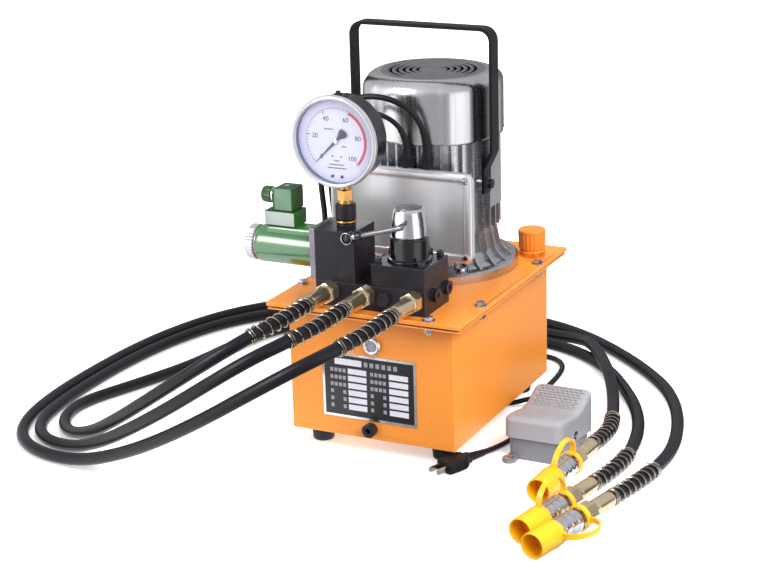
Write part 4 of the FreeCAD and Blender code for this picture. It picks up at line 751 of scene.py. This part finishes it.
def tank_details():
    bm = bmesh.new()
    for x, y in spots(79, 117):
        lathe(bm, eased([(4.2, 0.4), (11.4, 0), (12.8, 1.6), (14, 15.5), (13.6, 20), (4.2, 20)],
                        1.0), (x, y, 0))
        lathe(bm, [(4.2, 20), (4.2, 0.4)], (x, y, 0))
    finished(bm, "feet", "black_rubber", "tank_feet")
    bm, low = bmesh.new(), bmesh.new()
    for x, y in spots(82, 157) + spots(115, 87):
        at = (x, y, COVER_TOP)
        lathe(bm, eased([(3.4, 0), (7.2, 0), (7.2, 1), (3.4, 1)], 0.3), at)
        hex_bar(bm, at, UP, 5.5, 3.9, 0.4 + 0.011 * x, 1)
        lathe(bm, drum(3, 1.2, 0.3, 4.3), at)
        hex_bar(low, (x, y, 166.8), UP, 5.5, 5.1, 0.9 + 0.013 * y)
        lathe(low, drum(3, 4, 0.4, 164.5), (x, y, 0))
    finished(bm, "cover_bolts", "zinc_steel", "cover_fasteners")
    finished(low, "cover_nuts", "zinc_steel", "cover_fasteners")
    # oil level glass: a turned chrome ring round a shallow window
    at = (4, TANK_FRONT, 137)
    turned("level_ring", "chrome", "level_glass", at, FRONT, 64,
           (0.5, (11, 0), (11, 3.2), (10, 4.4), (9.2, 5.4), (7.6, 5.4), (6.6, 4.4), (6.4, 2)))
    turned("level_window", "window_grey", "level_glass", at, FRONT, 48,
           (0, (6.8, 3.2), (5.6, 3.7), (3.2, 4.2), (0, 4.4)))
    # drain plug with a hexagon socket
    socket = hexagon(3.6)
    turned("drain_screw", "black_steel", "drain_plug", (-1, TANK_FRONT, 33), FRONT, 48,
           (0.6, (0, -3), (8, -3), (8, 0.2), (8.2, 9), (7.6, 10), (4.3, 10)),
           (0, (4.3, 10), (socket, 9.6), (socket, 4), (0, 4)))
    # filler and breather cap with finger grips
    bm = bmesh.new()
    at = (94, 121, 0)
    lathe(bm, eased([(6.7, 181.2), (15.8, 181.2), (16.5, 182), (16.5, 185.5), (15.2, 186.2),
                     (14.6, 187), (14.6, 189), (15.3, 190)], 0.5), at)
    lathe(bm, [(ridged(size, 20), z) for size, z in ((15.3, 190), (15.9, 191), (16.6, 210))],
          at, steps=120)
    lathe(bm, eased([(16.6, 210), (17, 210.6), (17, 212.6), (16, 214), (11, 214), (10.4, 213.2),
                     (0, 213.2)], 0.5), at)
    finished(bm, "filler_cap_shell", "orange_plastic", "breather_cap", "filler_cap")


tank_details()


def nameplate():
    """Generic rating plate: silver border, black field, blank white boxes, no lettering."""
    face, slot = TANK_FRONT - 1, "plate_print"
    left, right, low, high, rim = -62.5, 58.5, 43, 123, 3
    boxed("plate_border", "bright_zinc", "nameplate", (left, face, low),
          (right, TANK_FRONT, high), 0.25)
    boxed("plate_field", "plate_print", None, (left + rim, face - 0.12, low + rim),
          (right - rim, face + 0.3, high - rim), 0.1, slot)
    white, marks = bmesh.new(), bmesh.new()

    def patch(bm, x0, x1, top, tall):
        block(bm, (x0, face - 0.2, top - tall), (x1, face, top), 0.05, 1)

    patch(white, -46, -11, high - 7, 7.6)
    for i in range(6):
        patch(marks, -8 + 7.6 * i, -3.2 + 7.6 * i, high - 8, 5.8)
    for row in range(6):
        top = high - 18.4 - 8.9 * row
        patch(white, -29, -5, top, 6.6)
        patch(white, 24, 48.5, top, 6.6)
        for start in (-52, 0):
            for i in range(4):
                if row < 3 or i in (0, 3):  # lower rows have two marks only
                    patch(marks, start + 5.4 * i, start + 5.4 * i + 3.9, top - 1, 4.6)
    finished(white, "plate_boxes", "plate_white", slot=slot)
    finished(marks, "plate_marks", "plate_grey", slot=slot)


nameplate()


# ---------------- motor

MOTOR = Vector((-3, 50, 0))


def lobed(size, rise):
    """A circle that swells softly at the four diagonals, where the tie rods run."""
    def radius(angle):
        away = abs(angle % (math.pi / 2) - math.pi / 4)
        share = max(0.0, min(1.0, (math.radians(19) - away) / math.radians(9)))
        return size + rise * share * share * (3 - 2 * share)
    return radius


def fan_cowl():
    """Pressed cover over the fan, with two groups of curved slots in its flat top."""
    at, steps, turn, top, side = MOTOR, 120, math.radians(26), 421.5, 82.5
    slot_half, slot_rings, flat_rings = 14, (1, 3, 5, 7, 9), 12
    rings = [5.0]
    for i in range(5):
        rings += [17 + 8 * i, 20.6 + 8 * i]
    shell = [(radius, top, 0.0) for radius in rings + [58.0, 63.0]]
    shell += [(66.5, top - 0.1, 0.1), (70.5, top - 0.9, 0.3), (74.5, top - 2.8, 0.6),
              (78, top - 5.6, 0.85), (80.6, top - 9.2, 0.95), (82, top - 13.5, 1.0)]
    shell += [(side, z, 1.0) for z in (top - 18, 400, 380, 362, 350)] + [(82.9, 347, 1.0)]
    bm = bmesh.new()
    centre = bm.verts.new(at + UP * top)
    rows = []
    for size, z, lobe in shell:
        radius = lobed(size, 3.0 * lobe)
        angles = [turn + 2 * math.pi * i / steps for i in range(steps)]
        rows.append([bm.verts.new(at + Vector((math.cos(angle), math.sin(angle), 0))
                                  * radius(angle) + UP * z) for angle in angles])
    for i in range(steps):
        bm.faces.new((centre, rows[0][i], rows[0][(i + 1) % steps])).material_index = 1
    for k, (low, high) in enumerate(zip(rows, rows[1:])):
        for i in range(steps):
            # the two groups of slots stand opposite each other, half a turn apart
            past = i % (steps // 2)
            if k in slot_rings and min(past, steps // 2 - past - 1) < slot_half:
                continue
            face = bm.faces.new((low[i], high[i], high[(i + 1) % steps], low[(i + 1) % steps]))
            face.material_index = int(k < flat_rings)
    obj = finished(bm, "cowl_shell", "pressed_aluminium", "fan_cowl", sharp=50)
    # the flat top takes the darker cowl_top copy, which is painted shade
    obj.data.materials.append(PAINTS["cowl_top"])
    solid = obj.modifiers.new("wall", "SOLIDIFY")
    solid.thickness = 1.5 * MM
    solid.offset = -1.0


fan_cowl()


def motor_bolts():
    bm = bmesh.new()
    for angle in (45, 135, 225, 315):
        x = MOTOR.x + 83 * math.cos(math.radians(angle))
        y = MOTOR.y + 83 * math.sin(math.radians(angle))
        lathe(bm, eased([(0, 191), (8.6, 191), (8.6, 192.2), (7.5, 192.4), (7.5, 197.4),
                         (6.9, 198), (3.7, 198)], 0.4), (x, y, 0))
        lathe(bm, [(3.7, 198), (hexagon(3.2), 197.7), (hexagon(3.2), 194), (0, 194)], (x, y, 0))
    finished(bm, "shield_screws", "bright_zinc", slot="black_steel")


motor_bolts()


def box_lid():
    """Pressed lid of the terminal box: raised rim, stepped border and a sunk panel."""
    left, right, low, high, corner = -94.5, 88.5, 216, 323, 11
    bm = bmesh.new()
    loops = []
    for inset, y in ((0.0, -42.0), (0.0, -47.2), (0.4, -48.7), (1.5, -49.7), (3.2, -50.0),
                     (7.6, -50.0), (8.8, -49.6), (9.5, -48.7), (10.3, -48.4), (13, -48.3),
                     (30, -48.2)):
        shape = round_rect(right - left - 2 * inset, high - low - 2 * inset,
                           max(0.5, corner - inset), 8)
        loops.append([bm.verts.new(((left + right) / 2 + a, y, (low + high) / 2 + b))
                      for a, b in shape])
    skin(bm, loops)
    finished(bm, "lid_shell", "lid_aluminium", "terminal_box_cover", sharp=40)
    bm, cross, screw_in = bmesh.new(), bmesh.new(), 7.5
    for x in (left + screw_in, right - screw_in):
        for z in (low + screw_in, high - screw_in):
            lathe(bm, eased([(4.6, 0), (4.6, 0.4), (4.0, 0.9), (3.8, 1.6), (2.6, 2.3), (0, 2.5)],
                            0.3), (x, -50, z), FRONT)
            for a, b in ((3.2, 0.45), (0.45, 3.2)):
                block(cross, (x - a, -52.55, z - b), (x + a, -51.9, z + b), 0.1, 1)
    finished(bm, "lid_screws", "bright_zinc", "small_screws")
    finished(cross, "lid_screw_crosses", "black_steel", "small_screws")


box_lid()


def glands():
    bm, bright, y = bmesh.new(), bmesh.new(), -37.2
    for x in (2, 28):
        at = (x, y, 0)
        lathe(bm, eased([(0, 312), (3.4, 312), (3.9, 321), (7.4, 321.6), (7.4, 323.6)], 0.3), at)
        hex_bar(bm, at, UP, 7.3, 7.5, 0.5, 323.5)
        lathe(bm, eased([(6.2, 331), (6.6, 331.6), (6.6, 337), (6.0, 340.5), (5.2, 344.6),
                         (4.4, 346), (0, 346)], 0.5), at)
        for i in range(12):
            angle = math.pi * i / 6
            spot = (x + 6.4 * math.cos(angle), y + 6.4 * math.sin(angle), 332)
            lathe(bm, drum(0.8, 5, 0.3), spot, UP, 8)
        lathe(bright, [(6.4, 322.2), (7.2, 322.6), (7.2, 323.4), (6.4, 323.8)], at, ring=True)
    finished(bm, "gland_bodies", "black_rubber", "cable_glands")
    finished(bright, "gland_washers", "chrome", "cable_glands")


glands()


def handle():
    """Tall bail bent from flat bar, bolted to the motor's frame on both sides."""
    half, top, foot, knee, y = 90.0, 479.0, 79.4, 334.5, 22
    side = [(foot, 284, 0), (foot, 312.5, 6), (half, knee, 6), (half, top, 14.0)]
    corners = side + [(-x, z, radius) for x, z, radius in side[::-1]]
    points = [Vector((x + MOTOR.x, y, z)) for x, z, _ in corners]
    path = []
    for i, (spot, (_, _, radius)) in enumerate(zip(points, corners)):
        if not radius:
            path.append(spot)
            continue
        before, after = points[i - 1] - spot, points[i + 1] - spot
        angle = before.angle(after)
        reach = min(radius / math.tan(angle / 2), 0.45 * before.length, 0.45 * after.length)
        radius = reach * math.tan(angle / 2)
        inward = (before.normalized() + after.normalized()).normalized()
        middle = spot + inward * (radius / math.sin(angle / 2))
        start = spot + before.normalized() * reach - middle
        stop = spot + after.normalized() * reach - middle
        for k in range(9):
            path.append(middle + start.normalized().slerp(stop.normalized(), k / 8) * radius)
    bm = bmesh.new()
    w, t, e = 10.0, 2.0, 0.7
    section = [(w - e, -t), (w, -t + e), (w, t - e), (w - e, t), (-w + e, t), (-w, t - e),
               (-w, -t + e), (-w + e, -t)]
    sweep(bm, path, section, Vector((0, 1, 0)))
    finished(bm, "bail", "handle_black", "lifting_handle")
    bm = bmesh.new()
    for hand in (-1, 1):
        out = Vector((hand, 0, 0))
        at = Vector((MOTOR.x + hand * 81.4, y, 295))
        lathe(bm, drum(7.6, 1.2, 0.3), at, out)
        hex_bar(bm, at, out, 6.6, 5.2, 0.3, 1.2)
    finished(bm, "bail_bolts", "black_steel", "motor_bolts")


handle()


# ---------------- valve group

RELIEF_TOP = 237
SPOOL_Y = -124


def solenoid():
    at, side = Vector((0, SPOOL_Y, 239.3)), Vector((-1, 0, 0))
    bm = bmesh.new()
    lathe(bm, eased([(0, 71), (21.4, 71), (22, 71.8), (22, 143.5), (21.1, 146.8), (18.8, 148),
                     (0, 148)], 1.2), at, side, 96)
    block(bm, (-137, -137, 244), (-71.6, -111, 265.8), 6, 5)
    finished(bm, "coil_barrel", "coil_green", "solenoid_coil")
    for name, paint, node, low, high, bevel in (
            ("coil_seat", "plug_green", "solenoid_coil", (-134.5, -138.5, 265.5),
             (-94.5, -109.5, 283.5), 1.1),
            # a pale sheet on the green seat's front face: painted light
            ("seat_front_painted_light", "seat_grey", "solenoid_coil", (-133.3, -138.9, 266.9),
             (-95.8, -138.3, 282.4), 0.2),
            ("plug_panel", "pale_green", "solenoid_plug", (-120.6, -138.4, 285.6),
             (-98.6, -137.8, 310), 0.25)):
        boxed(name, paint, node, low, high, bevel)
    knurl = ridged(20.9, 36)
    bm = bmesh.new()
    lathe(bm, eased([(0, 148), (17.5, 148), (17.5, 150), (19.9, 150.4)], 0.4), at, side, 96)
    lathe(bm, [(19.9, 150.4), (knurl, 151.2), (knurl, 159.6), (19.7, 161),
               (15, 161.4), (14.4, 161.0), (6, 161.0), (5, 161.6), (0, 161.6)], at, side, 216)
    finished(bm, "coil_nut", "white_zinc", "solenoid_end_nut")
    # connector that plugs on the coil, its outlet toward the left
    bm = bmesh.new()
    block(bm, (-121.5, -138, 284.4), (-97.5, -110, 311), 1.3, 3)
    block(bm, (-124.5, -136.5, 287.5), (-119, -111.5, 309), 1.2)
    block(bm, (-118.5, -131, 310.5), (-102, -117, 311.9), 0.35)
    block(bm, (-119.5, -136, 283), (-99.5, -112, 285), 0.2)
    outlet = Vector((0, SPOOL_Y, 299))
    lathe(bm, eased([(0, 118), (9.6, 118), (9.4, 123), (8.2, 126), (8.2, 129.4)], 0.6), outlet,
          side)
    ribs = ridged(9.4, 14)
    lathe(bm, [(8.2, 129), (ribs, 130), (ribs, 139.6), (8.6, 141.6), (5.2, 142.4), (4.8, 138.5),
               (0, 138.5)], outlet, side, 84)
    finished(bm, "connector_shell", "plug_green", "solenoid_plug")
    bm = bmesh.new()
    lathe(bm, eased([(8.4, 126.6), (9.1, 127), (9.1, 128.6), (8.4, 129)], 0.1), outlet, side)
    lathe(bm, drum(2.6, 0.8, 0.3, 311.6), (-110.5, SPOOL_Y, 0))
    finished(bm, "connector_trim", "chrome", "solenoid_plug")


solenoid()


def relief_valve():
    at = (40.5, -116, 0)
    turned("relief_body", "gloss_black", "relief_dome", at, UP, 72,
           (0.5, (0, RELIEF_TOP), (26, RELIEF_TOP), (26, 239), (24.6, 240), (22.4, 240.4),
            (22.4, 262.4), (21.4, 263.4), (21.4, 264.2), (22.2, 265), (0, 265)))
    turned("relief_cap_shell", "chrome", "relief_cap", at, UP, 72,
           (1.6, (0, 265), (20.6, 265), (20.6, 269), (20.2, 278), (19.0, 289), (17.6, 295.6),
            (15.8, 298), (0, 298)))
    # grey disc on the chrome cap's flat top: painted shade
    turned("relief_cap_top_painted_shade", "grey_steel", "relief_cap", at, UP, 72,
           (0.2, (0, 297.6), (15.4, 297.6), (15.2, 298.3), (0, 298.3)))


relief_valve()


def cap_screws():
    bm = bmesh.new()
    top, knurl, socket = RELIEF_TOP, ridged(4.15, 24, 0.1), hexagon(2.0)
    for x, y in ((13, -142), (12, -103), (67, -142), (68, -93), (52, -88)):
        lathe(bm, [(0, top), (4.0, top), (knurl, top + 0.4), (knurl, top + 6.2),
                   (3.7, top + 6.9), (2.6, top + 7), (socket, top + 6.8), (socket, top + 3.4),
                   (0, top + 3.2)], (x, y, 0), steps=96)
    finished(bm, "relief_screws", "black_steel", "block_screws")


cap_screws()


def release_lever():
    hub = Vector((-18.3, -149.5, 266.2))
    rise = math.radians(15.5)
    along = Vector((math.cos(rise), 0, math.sin(rise)))
    bm = bmesh.new()
    lathe(bm, eased([(0, 0.3), (7.5, 0.3), (7.5, 8), (6.9, 9), (6.1, 9.1), (5.6, 8.4),
                     (5.3, 7.4), (4.9, 8.2), (3.4, 9.3), (0, 9.7)], 0.4), hub, FRONT, 64)
    middle = hub + FRONT * 5
    lathe(bm, eased([(0, 10.4), (4.4, 10.4), (4.7, 12), (4.7, 17.4), (3.2, 18.8)], 0.5), middle,
          along)
    finished(bm, "lever_hub", "gloss_black", "release_lever", "lever")
    # bright neck and bright ring round the hub's rim on the black lever: painted highlights
    bm = bmesh.new()
    lathe(bm, eased([(0, 5), (3.4, 5), (3.4, 10.6), (0, 10.6)], 0.3), middle, along)
    lathe(bm, eased([(6.0, 8.6), (7.1, 8.8), (7.1, 9.4), (6.5, 9.8), (6.0, 9.2)], 0.2), hub,
          FRONT, 64)
    finished(bm, "lever_painted_highlights", "bright_zinc", "release_lever", "lever")
    turned("lever_rod", "grey_steel", "release_lever", middle, along, 32,
           (0.8, (0, 17), (2.8, 17), (2.7, 30), (3.0, 60), (3.2, 67), (2.8, 71.4),
            (1.6, 73.2), (0, 73.6)), body="lever")


release_lever()


# ---------------- gauge

GAUGE = Vector((-35, 0, 374.5))
ZERO, SWEEP = 225, 270


def dial_axes(angle):
    """Directions across and outward on the dial, the angle clockwise from twelve."""
    turn = math.radians(angle)
    outward = Vector((math.sin(turn), 0, math.cos(turn)))
    return Vector((outward.z, 0, -outward.x)), outward


def on_dial(angle, radius, y):
    return GAUGE + dial_axes(angle)[1] * radius + Vector((0, y, 0))


def arc_band(bm, start, stop, inner, outer, y, steps=40):
    for i in range(steps):
        a = start + (stop - start) * i / steps
        b = start + (stop - start) * (i + 1) / steps
        bm.faces.new([bm.verts.new(on_dial(angle, radius, y)) for angle, radius in
                      ((a, inner), (a, outer), (b, outer), (b, inner))])
    bmesh.ops.remove_doubles(bm, verts=bm.verts, dist=0.001)


def ticks(bm, count, every, long_mark, short_mark, y):
    """Marks round the dial, each given by its half width, inner and outer radius."""
    for i in range(count + 1):
        angle = ZERO + SWEEP * i / count
        half, near, far = short_mark if i % every else long_mark
        size = (far - near) / 2
        slab(bm, [(-half, -size), (half, -size), (half, size), (-half, size)],
             on_dial(angle, (near + far) / 2, y), *dial_axes(angle), 0.06, 0)


def digits(text, angle, radius, size):
    curve = bpy.data.curves.new("number_" + text, "FONT")
    curve.body = text
    curve.size = size * MM
    curve.align_x = "CENTER"
    curve.align_y = "CENTER"
    curve.extrude = 0.04 * MM
    obj = bpy.data.objects.new("number_" + text, curve)
    SCENE.collection.objects.link(obj)
    obj.rotation_euler = (math.pi / 2, 0, 0)
    obj.location = on_dial(angle, radius, -142.12) * MM
    curve.materials.append(PAINTS["dial_black"])
    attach(obj, "unit")


def gauge():
    at, face, scale_end = GAUGE, -142.1, ZERO + SWEEP
    # bezel, case and the small filler plug on top
    turned("gauge_bezel", "white_zinc", "gauge_case", at, FRONT, 120,
           (0.9, (50.2, 145.2), (53.5, 145.4), (53.5, 147.6), (52.8, 149.8), (50.8, 151),
            (48.8, 150.6), (47.9, 149.4), (47.9, 148.4)))
    bm = bmesh.new()
    lathe(bm, eased([(52, 145.6), (52.4, 144.6), (52.4, 140), (51, 138.6), (50, 138), (50, 116),
                     (48.4, 112.6), (44, 111), (0, 111)], 1.0), at, FRONT, 120)
    lathe(bm, eased([(0, 49), (4.4, 49), (4.4, 51.8), (2.8, 52.4), (2.8, 54.4), (0, 54.4)], 0.4),
          (GAUGE.x, -128, GAUGE.z), Vector((-0.06, 0, 1)))
    finished(bm, "gauge_shell", "case_grey", "gauge_case")
    # the bezel's inner wall in dark blue: painted shade
    turned("gauge_inner_wall", "dial_wall", None, at, FRONT, 96,
           (0, (47.9, 141.5), (47.8, 148.6)), slot="bright_zinc")
    turned("gauge_face", "dial_white", "gauge_dial", at, FRONT, 96,
           (0, (0, 142), (48, 142), (48, 141), (0, 141)))
    ink, red, pink, screws = (bmesh.new() for _ in range(4))
    ticks(ink, 50, 10, (0.42, 33.5, 38), (0.2, 35.8, 38), face)
    ticks(pink, 40, 5, (0.25, 40.4, 43.6), (0.25, 40.5, 42.3), face)
    arc_band(ink, ZERO, scale_end, 37.9, 38.2, face - 0.03, 90)
    arc_band(pink, ZERO, scale_end, 39.9, 40.15, face - 0.03, 90)
    arc_band(red, 28, 133, 34.8, 37.7, face - 0.1)
    for x in (-5.5, 5.5):
        lathe(ink, drum(1.0, 0.3, 0.1, 142), (GAUGE.x + x, 0, GAUGE.z - 18), FRONT, 16)
    for x, z, wide in ((0, -23, 7), (0, -27.5, 18), (0, -31.5, 24), (-9, 13, 12), (10, -6, 6)):
        count = max(2, int(wide / 2.2))
        for i in range(count):
            left = x - wide / 2 + wide * i / count
            block(ink, (GAUGE.x + left, face, GAUGE.z + z - 0.8),
                  (GAUGE.x + left + wide / count * 0.62, face + 0.2, GAUGE.z + z + 0.8), 0, 1)
    for x in (-6, 6):
        lathe(screws, eased([(0, 142), (1.9, 142), (1.9, 143), (0, 143.4)], 0.3),
              (GAUGE.x + x, 0, GAUGE.z - 41), FRONT, 24)
    finished(ink, "dial_marks", "dial_black", slot="dial_white")
    finished(red, "dial_red_arc", "dial_red", slot="dial_white")
    finished(pink, "dial_pink_scale", "dial_pink", slot="dial_white")
    for i in range(6):
        digits(str(20 * i), ZERO + SWEEP * i / 5, 27.5, 7.6)
    finished(screws, "dial_screws", "black_steel", slot="dial_white")
    # pointer
    bm = bmesh.new()
    slab(bm, [(-0.35, 33), (0.35, 33), (1.3, 4), (1.6, -5), (5.6, -12.5), (5.0, -15.5),
              (0, -17), (-5.0, -15.5), (-5.6, -12.5), (-1.6, -5), (-1.3, 4)],
         GAUGE + Vector((0, -143.4, 0)), *dial_axes(ZERO), 0.7, 0.15)
    finished(bm, "pointer", "needle_black", "gauge_needle", "needle")
    turned("pointer_hub", "bright_zinc", "gauge_needle", at, FRONT, 48,
           (0.4, (0, 143), (3.1, 143), (3.1, 144.4), (2.4, 145), (0, 145)), body="needle")
    turned("gauge_window", "clear_glass", "gauge_lens", at, FRONT, 96,
           (0, (0, 147.5), (47.9, 147.5), (47.9, 149), (0, 149.2)))
    # union below the gauge
    stem = (GAUGE.x, -125, 0)
    turned("gauge_union", "black_steel", "gauge_adapter", stem, UP, 48,
           (0.6, (0, 270.9), (11, 270.9), (11, 274.6), (9.6, 276)),
           (0.6, (9.6, 279), (11.4, 279.4), (12, 280.4), (12, 296.8), (11, 298), (0, 298)))
    bm = bmesh.new()
    lathe(bm, eased([(9, 275.9), (12, 276.1), (12.4, 277.5), (12, 278.9), (9, 279.1)], 0.5),
          stem)
    lathe(bm, eased([(0, 297.6), (8.6, 297.8), (8.6, 300.5), (7.8, 301), (7.8, 302.4)], 0.4),
          stem)
    hex_bar(bm, stem, UP, 9.6, 12.5, 0.35, 302.2)
    lathe(bm, eased([(7.4, 314.6), (6.8, 315.4), (6.8, 325.6), (0, 325.6)], 0.5), stem)
    finished(bm, "gauge_stem", "brass", "gauge_adapter")


gauge()


# ---------------- foot switch details

HINGE = Vector((180.5, -47, 22))
PEDAL_TOP = [(12, 59), (4, 57.5), (-7, 54), (-19, 49), (-30, 46.3), (-41, 46), (-52, 47.5),
             (-66, 50.5), (-80, 52.5), (-95, 53)]
PEDAL_SKIRT = [(12, 7), (-44, 14.5), (-95, 28)]


def level_at(profile, y):
    """Height of a profile of (y, z) points at y, with a smooth turn at each point."""
    heights = []
    for offset in (-4, -2, 0, 2, 4):
        spot = max(profile[-1][0], min(profile[0][0], y + offset))
        for (y1, z1), (y0, z0) in zip(profile, profile[1:]):
            if y0 <= spot <= y1:
                heights.append(z0 + (z1 - z0) * (spot - y0) / (y1 - y0))
                break
    return sum(heights) / len(heights)


def pedal_ring(inset):
    """The treadle's outline seen from above, this far inside its edge."""
    wide, deep = 71 - 2 * inset, 107 - 2 * inset
    radius = max(0.4, 9 - inset)
    corners = round_rect(wide, deep, min(radius, wide / 2.01), 6)
    ring = []
    for (x0, y0), (x1, y1) in zip(corners, corners[1:] + corners[:1]):
        is_side = math.hypot(x1 - x0, y1 - y0) > 0.55 * wide or abs(y1 - y0) > 40
        steps = 18 if is_side else 1
        ring += [(x0 + (x1 - x0) * i / steps, y0 + (y1 - y0) * i / steps) for i in range(steps)]
    return [(HINGE.x + x, HINGE.y + 5.5 + y) for x, y in ring]


def treadle():
    """Moulded treadle with rounded edges, a saddle in its top and a grid of raised grips."""
    ease, wall, rim = 6.0, 3.0, 0.6
    rings = [(inset, PEDAL_TOP, -drop)
             for inset, drop in ((33, wall), (20, wall), (10, wall), (wall, wall + 2))]
    rings += [(wall, PEDAL_SKIRT, rim), (wall - rim, PEDAL_SKIRT, 0), (rim, PEDAL_SKIRT, 0),
              (0, PEDAL_SKIRT, rim)]
    for i in range(7):
        angle = math.pi / 2 * i / 6
        rings.append((ease * (1 - math.cos(angle)), PEDAL_TOP, -ease * (1 - math.sin(angle))))
    rings += [(inset, PEDAL_TOP, 0) for inset in (9, 14, 20, 27, 33)]
    bm = bmesh.new()
    skin(bm, [[bm.verts.new((x, y, level_at(profile, y) + rise)) for x, y in pedal_ring(inset)]
              for inset, profile, rise in rings])
    for row in range(9):
        y = 4 - 4.3 * row
        z = level_at(PEDAL_TOP, y)
        tilt = math.atan2(level_at(PEDAL_TOP, y + 1) - level_at(PEDAL_TOP, y - 1), 2)
        along = Vector((0, math.cos(tilt), math.sin(tilt)))
        for column in range(-4, 5):
            spot = Vector((HINGE.x + 6 * column + (1.5 if row % 2 else -1.5), y, z - 0.3))
            slab(bm, [(-2, -1.05), (2, -1.05), (2, 1.05), (-2, 1.05)], spot, (1, 0, 0), along,
                 1.7, 0.35)
    for inset in (0, 4.5, 9):
        x0, x1, y0, y1 = 156 + inset, 205 - inset, -86 + inset, -38
        path = [(x0, y1), (x0, y0 + 6), (x0 + 1.8, y0 + 1.8), (x0 + 6, y0), (x1 - 6, y0),
                (x1 - 1.8, y0 + 1.8), (x1, y0 + 6), (x1, y1)]
        fine = []
        for (xa, ya), (xb, yb) in zip(path, path[1:]):
            fine += [(xa + (xb - xa) * i / 10, ya + (yb - ya) * i / 10) for i in range(10)]
        sweep(bm, [(x, y, level_at(PEDAL_TOP, y)) for x, y in fine], disc_section(0.7, 6))
    finished(bm, "treadle", "light_grey_plastic", "foot_pedal", "pedal", sharp=40)


def foot_switch():
    treadle()
    # metal eyelet in the fixing ear, and the end of the hinge pin in its bush
    pins, bushes = bmesh.new(), bmesh.new()
    lathe(pins, eased([(2.5, 5.0), (2.5, 5.6), (4.6, 5.7), (5.4, 5.1), (5.6, 4.8)], 0.3),
          (154, -99.5, 0), UP, 32)
    for hand in (1, -1):
        out, half = Vector((hand, 0, 0)), 35.5
        lathe(pins, drum(2.6, 0.9, 0.4), HINGE + out * (half + 0.1), out, 24)
        lathe(bushes, eased([(2.6, 0), (2.6, 0.7), (4.8, 0.7), (5, 0)], 0.2),
              HINGE + out * half, out, 32)
    lathe(bushes, drum(1.9, 0.25, 0.05), (216, -76, 27), Vector((1, 0, 0)), 24)
    finished(pins, "pin_ends", "bright_zinc", slot="dark_grey_plastic")
    finished(bushes, "pin_bushes", "black_rubber", slot="dark_grey_plastic", body="pedal")


foot_switch()


# ---------------- stage

# Grey of the surroundings by compass direction, as the polished metal mirrors them. The count
# goes once round from -X over -Y, +X and +Y.
ROOM = ((0, 0.8), (0.10, 1.4), (0.19, 1.5), (0.215, 0.9), (0.25, 0.45), (0.3, 0.36),
        (0.375, 0.4), (0.405, 1.4), (0.48, 1.3), (0.52, 0.2), (0.59, 0.04), (0.625, 0.5),
        (0.7, 0.6), (0.74, 0.12), (0.84, 0.3), (0.93, 0.75))


def floor_material():
    """White to the camera; in reflections and bounced light it takes the greys of the room."""
    floor = bpy.data.materials.new("floor")
    graph = Graph(floor)
    away = graph.add("ShaderNodeVectorMath", {0: graph.place}, operation="LENGTH")
    tint = graph.ramp(graph.noise(2), [(0.3, (0.93, 0.93, 0.93)), (0.7, (0.95, 0.95, 0.95))])
    graph.fill(graph.shader, {
        "Base Color": tint, "Roughness": 0.9, "Specular IOR Level": 0.0,
        "Emission Color": (1, 1, 1),
        "Emission Strength": graph.between(away.outputs["Value"], 0.4, 1.0, 0.6, 1.8)})
    glow = graph.add("ShaderNodeEmission", {"Color": graph.room()}).outputs["Emission"]
    seen = graph.add("ShaderNodeLightPath").outputs["Is Camera Ray"]
    choice = graph.add("ShaderNodeMixShader", {
        "Fac": seen, 1: glow, 2: graph.shader.outputs["BSDF"]})
    graph.fill(graph.tree.nodes["Material Output"], {"Surface": choice.outputs["Shader"]})
    return floor


def studio_sky():
    """The room's greys near the horizon, an even mid grey overhead."""
    SCENE.world = bpy.data.worlds.new("world")
    graph = Graph(SCENE.world, "Generated")
    height = graph.add("ShaderNodeSeparateXYZ", {0: graph.place}).outputs["Z"]
    high = graph.ramp(height, greys(((0.15, 0.0), (0.5, 1.0))))
    graph.fill(graph.tree.nodes["Background"], {
        "Color": graph.mix(high, graph.room(), (0.6, 0.6, 0.62))})


def stage():
    bpy.ops.mesh.primitive_plane_add(size=24, location=(0, 0, 0))
    floor = bpy.context.object
    floor.name = "floor"
    floor.data.materials.append(floor_material())
    studio_sky()
    for name, place, size, power in (("key", (1.5, -0.9, 1.5), 1.3, 60),
                                     ("fill", (-1.2, -1.7, 1.1), 1.4, 14),
                                     ("back", (-0.7, 0.9, 2.1), 1.2, 34),
                                     ("strip", (-0.9, -1.5, 1.25), 0.9, 18)):
        light = bpy.data.lights.new(name, "AREA")
        light.size = size
        light.energy = power
        obj = bpy.data.objects.new(name, light)
        SCENE.collection.objects.link(obj)
        obj.location = place
        aim = Vector((0, 0, 0.2)) - Vector(place)
        obj.rotation_euler = aim.to_track_quat("-Z", "Y").to_euler()
        obj.visible_glossy = name == "strip"
        obj.visible_diffuse = name != "strip"


stage()
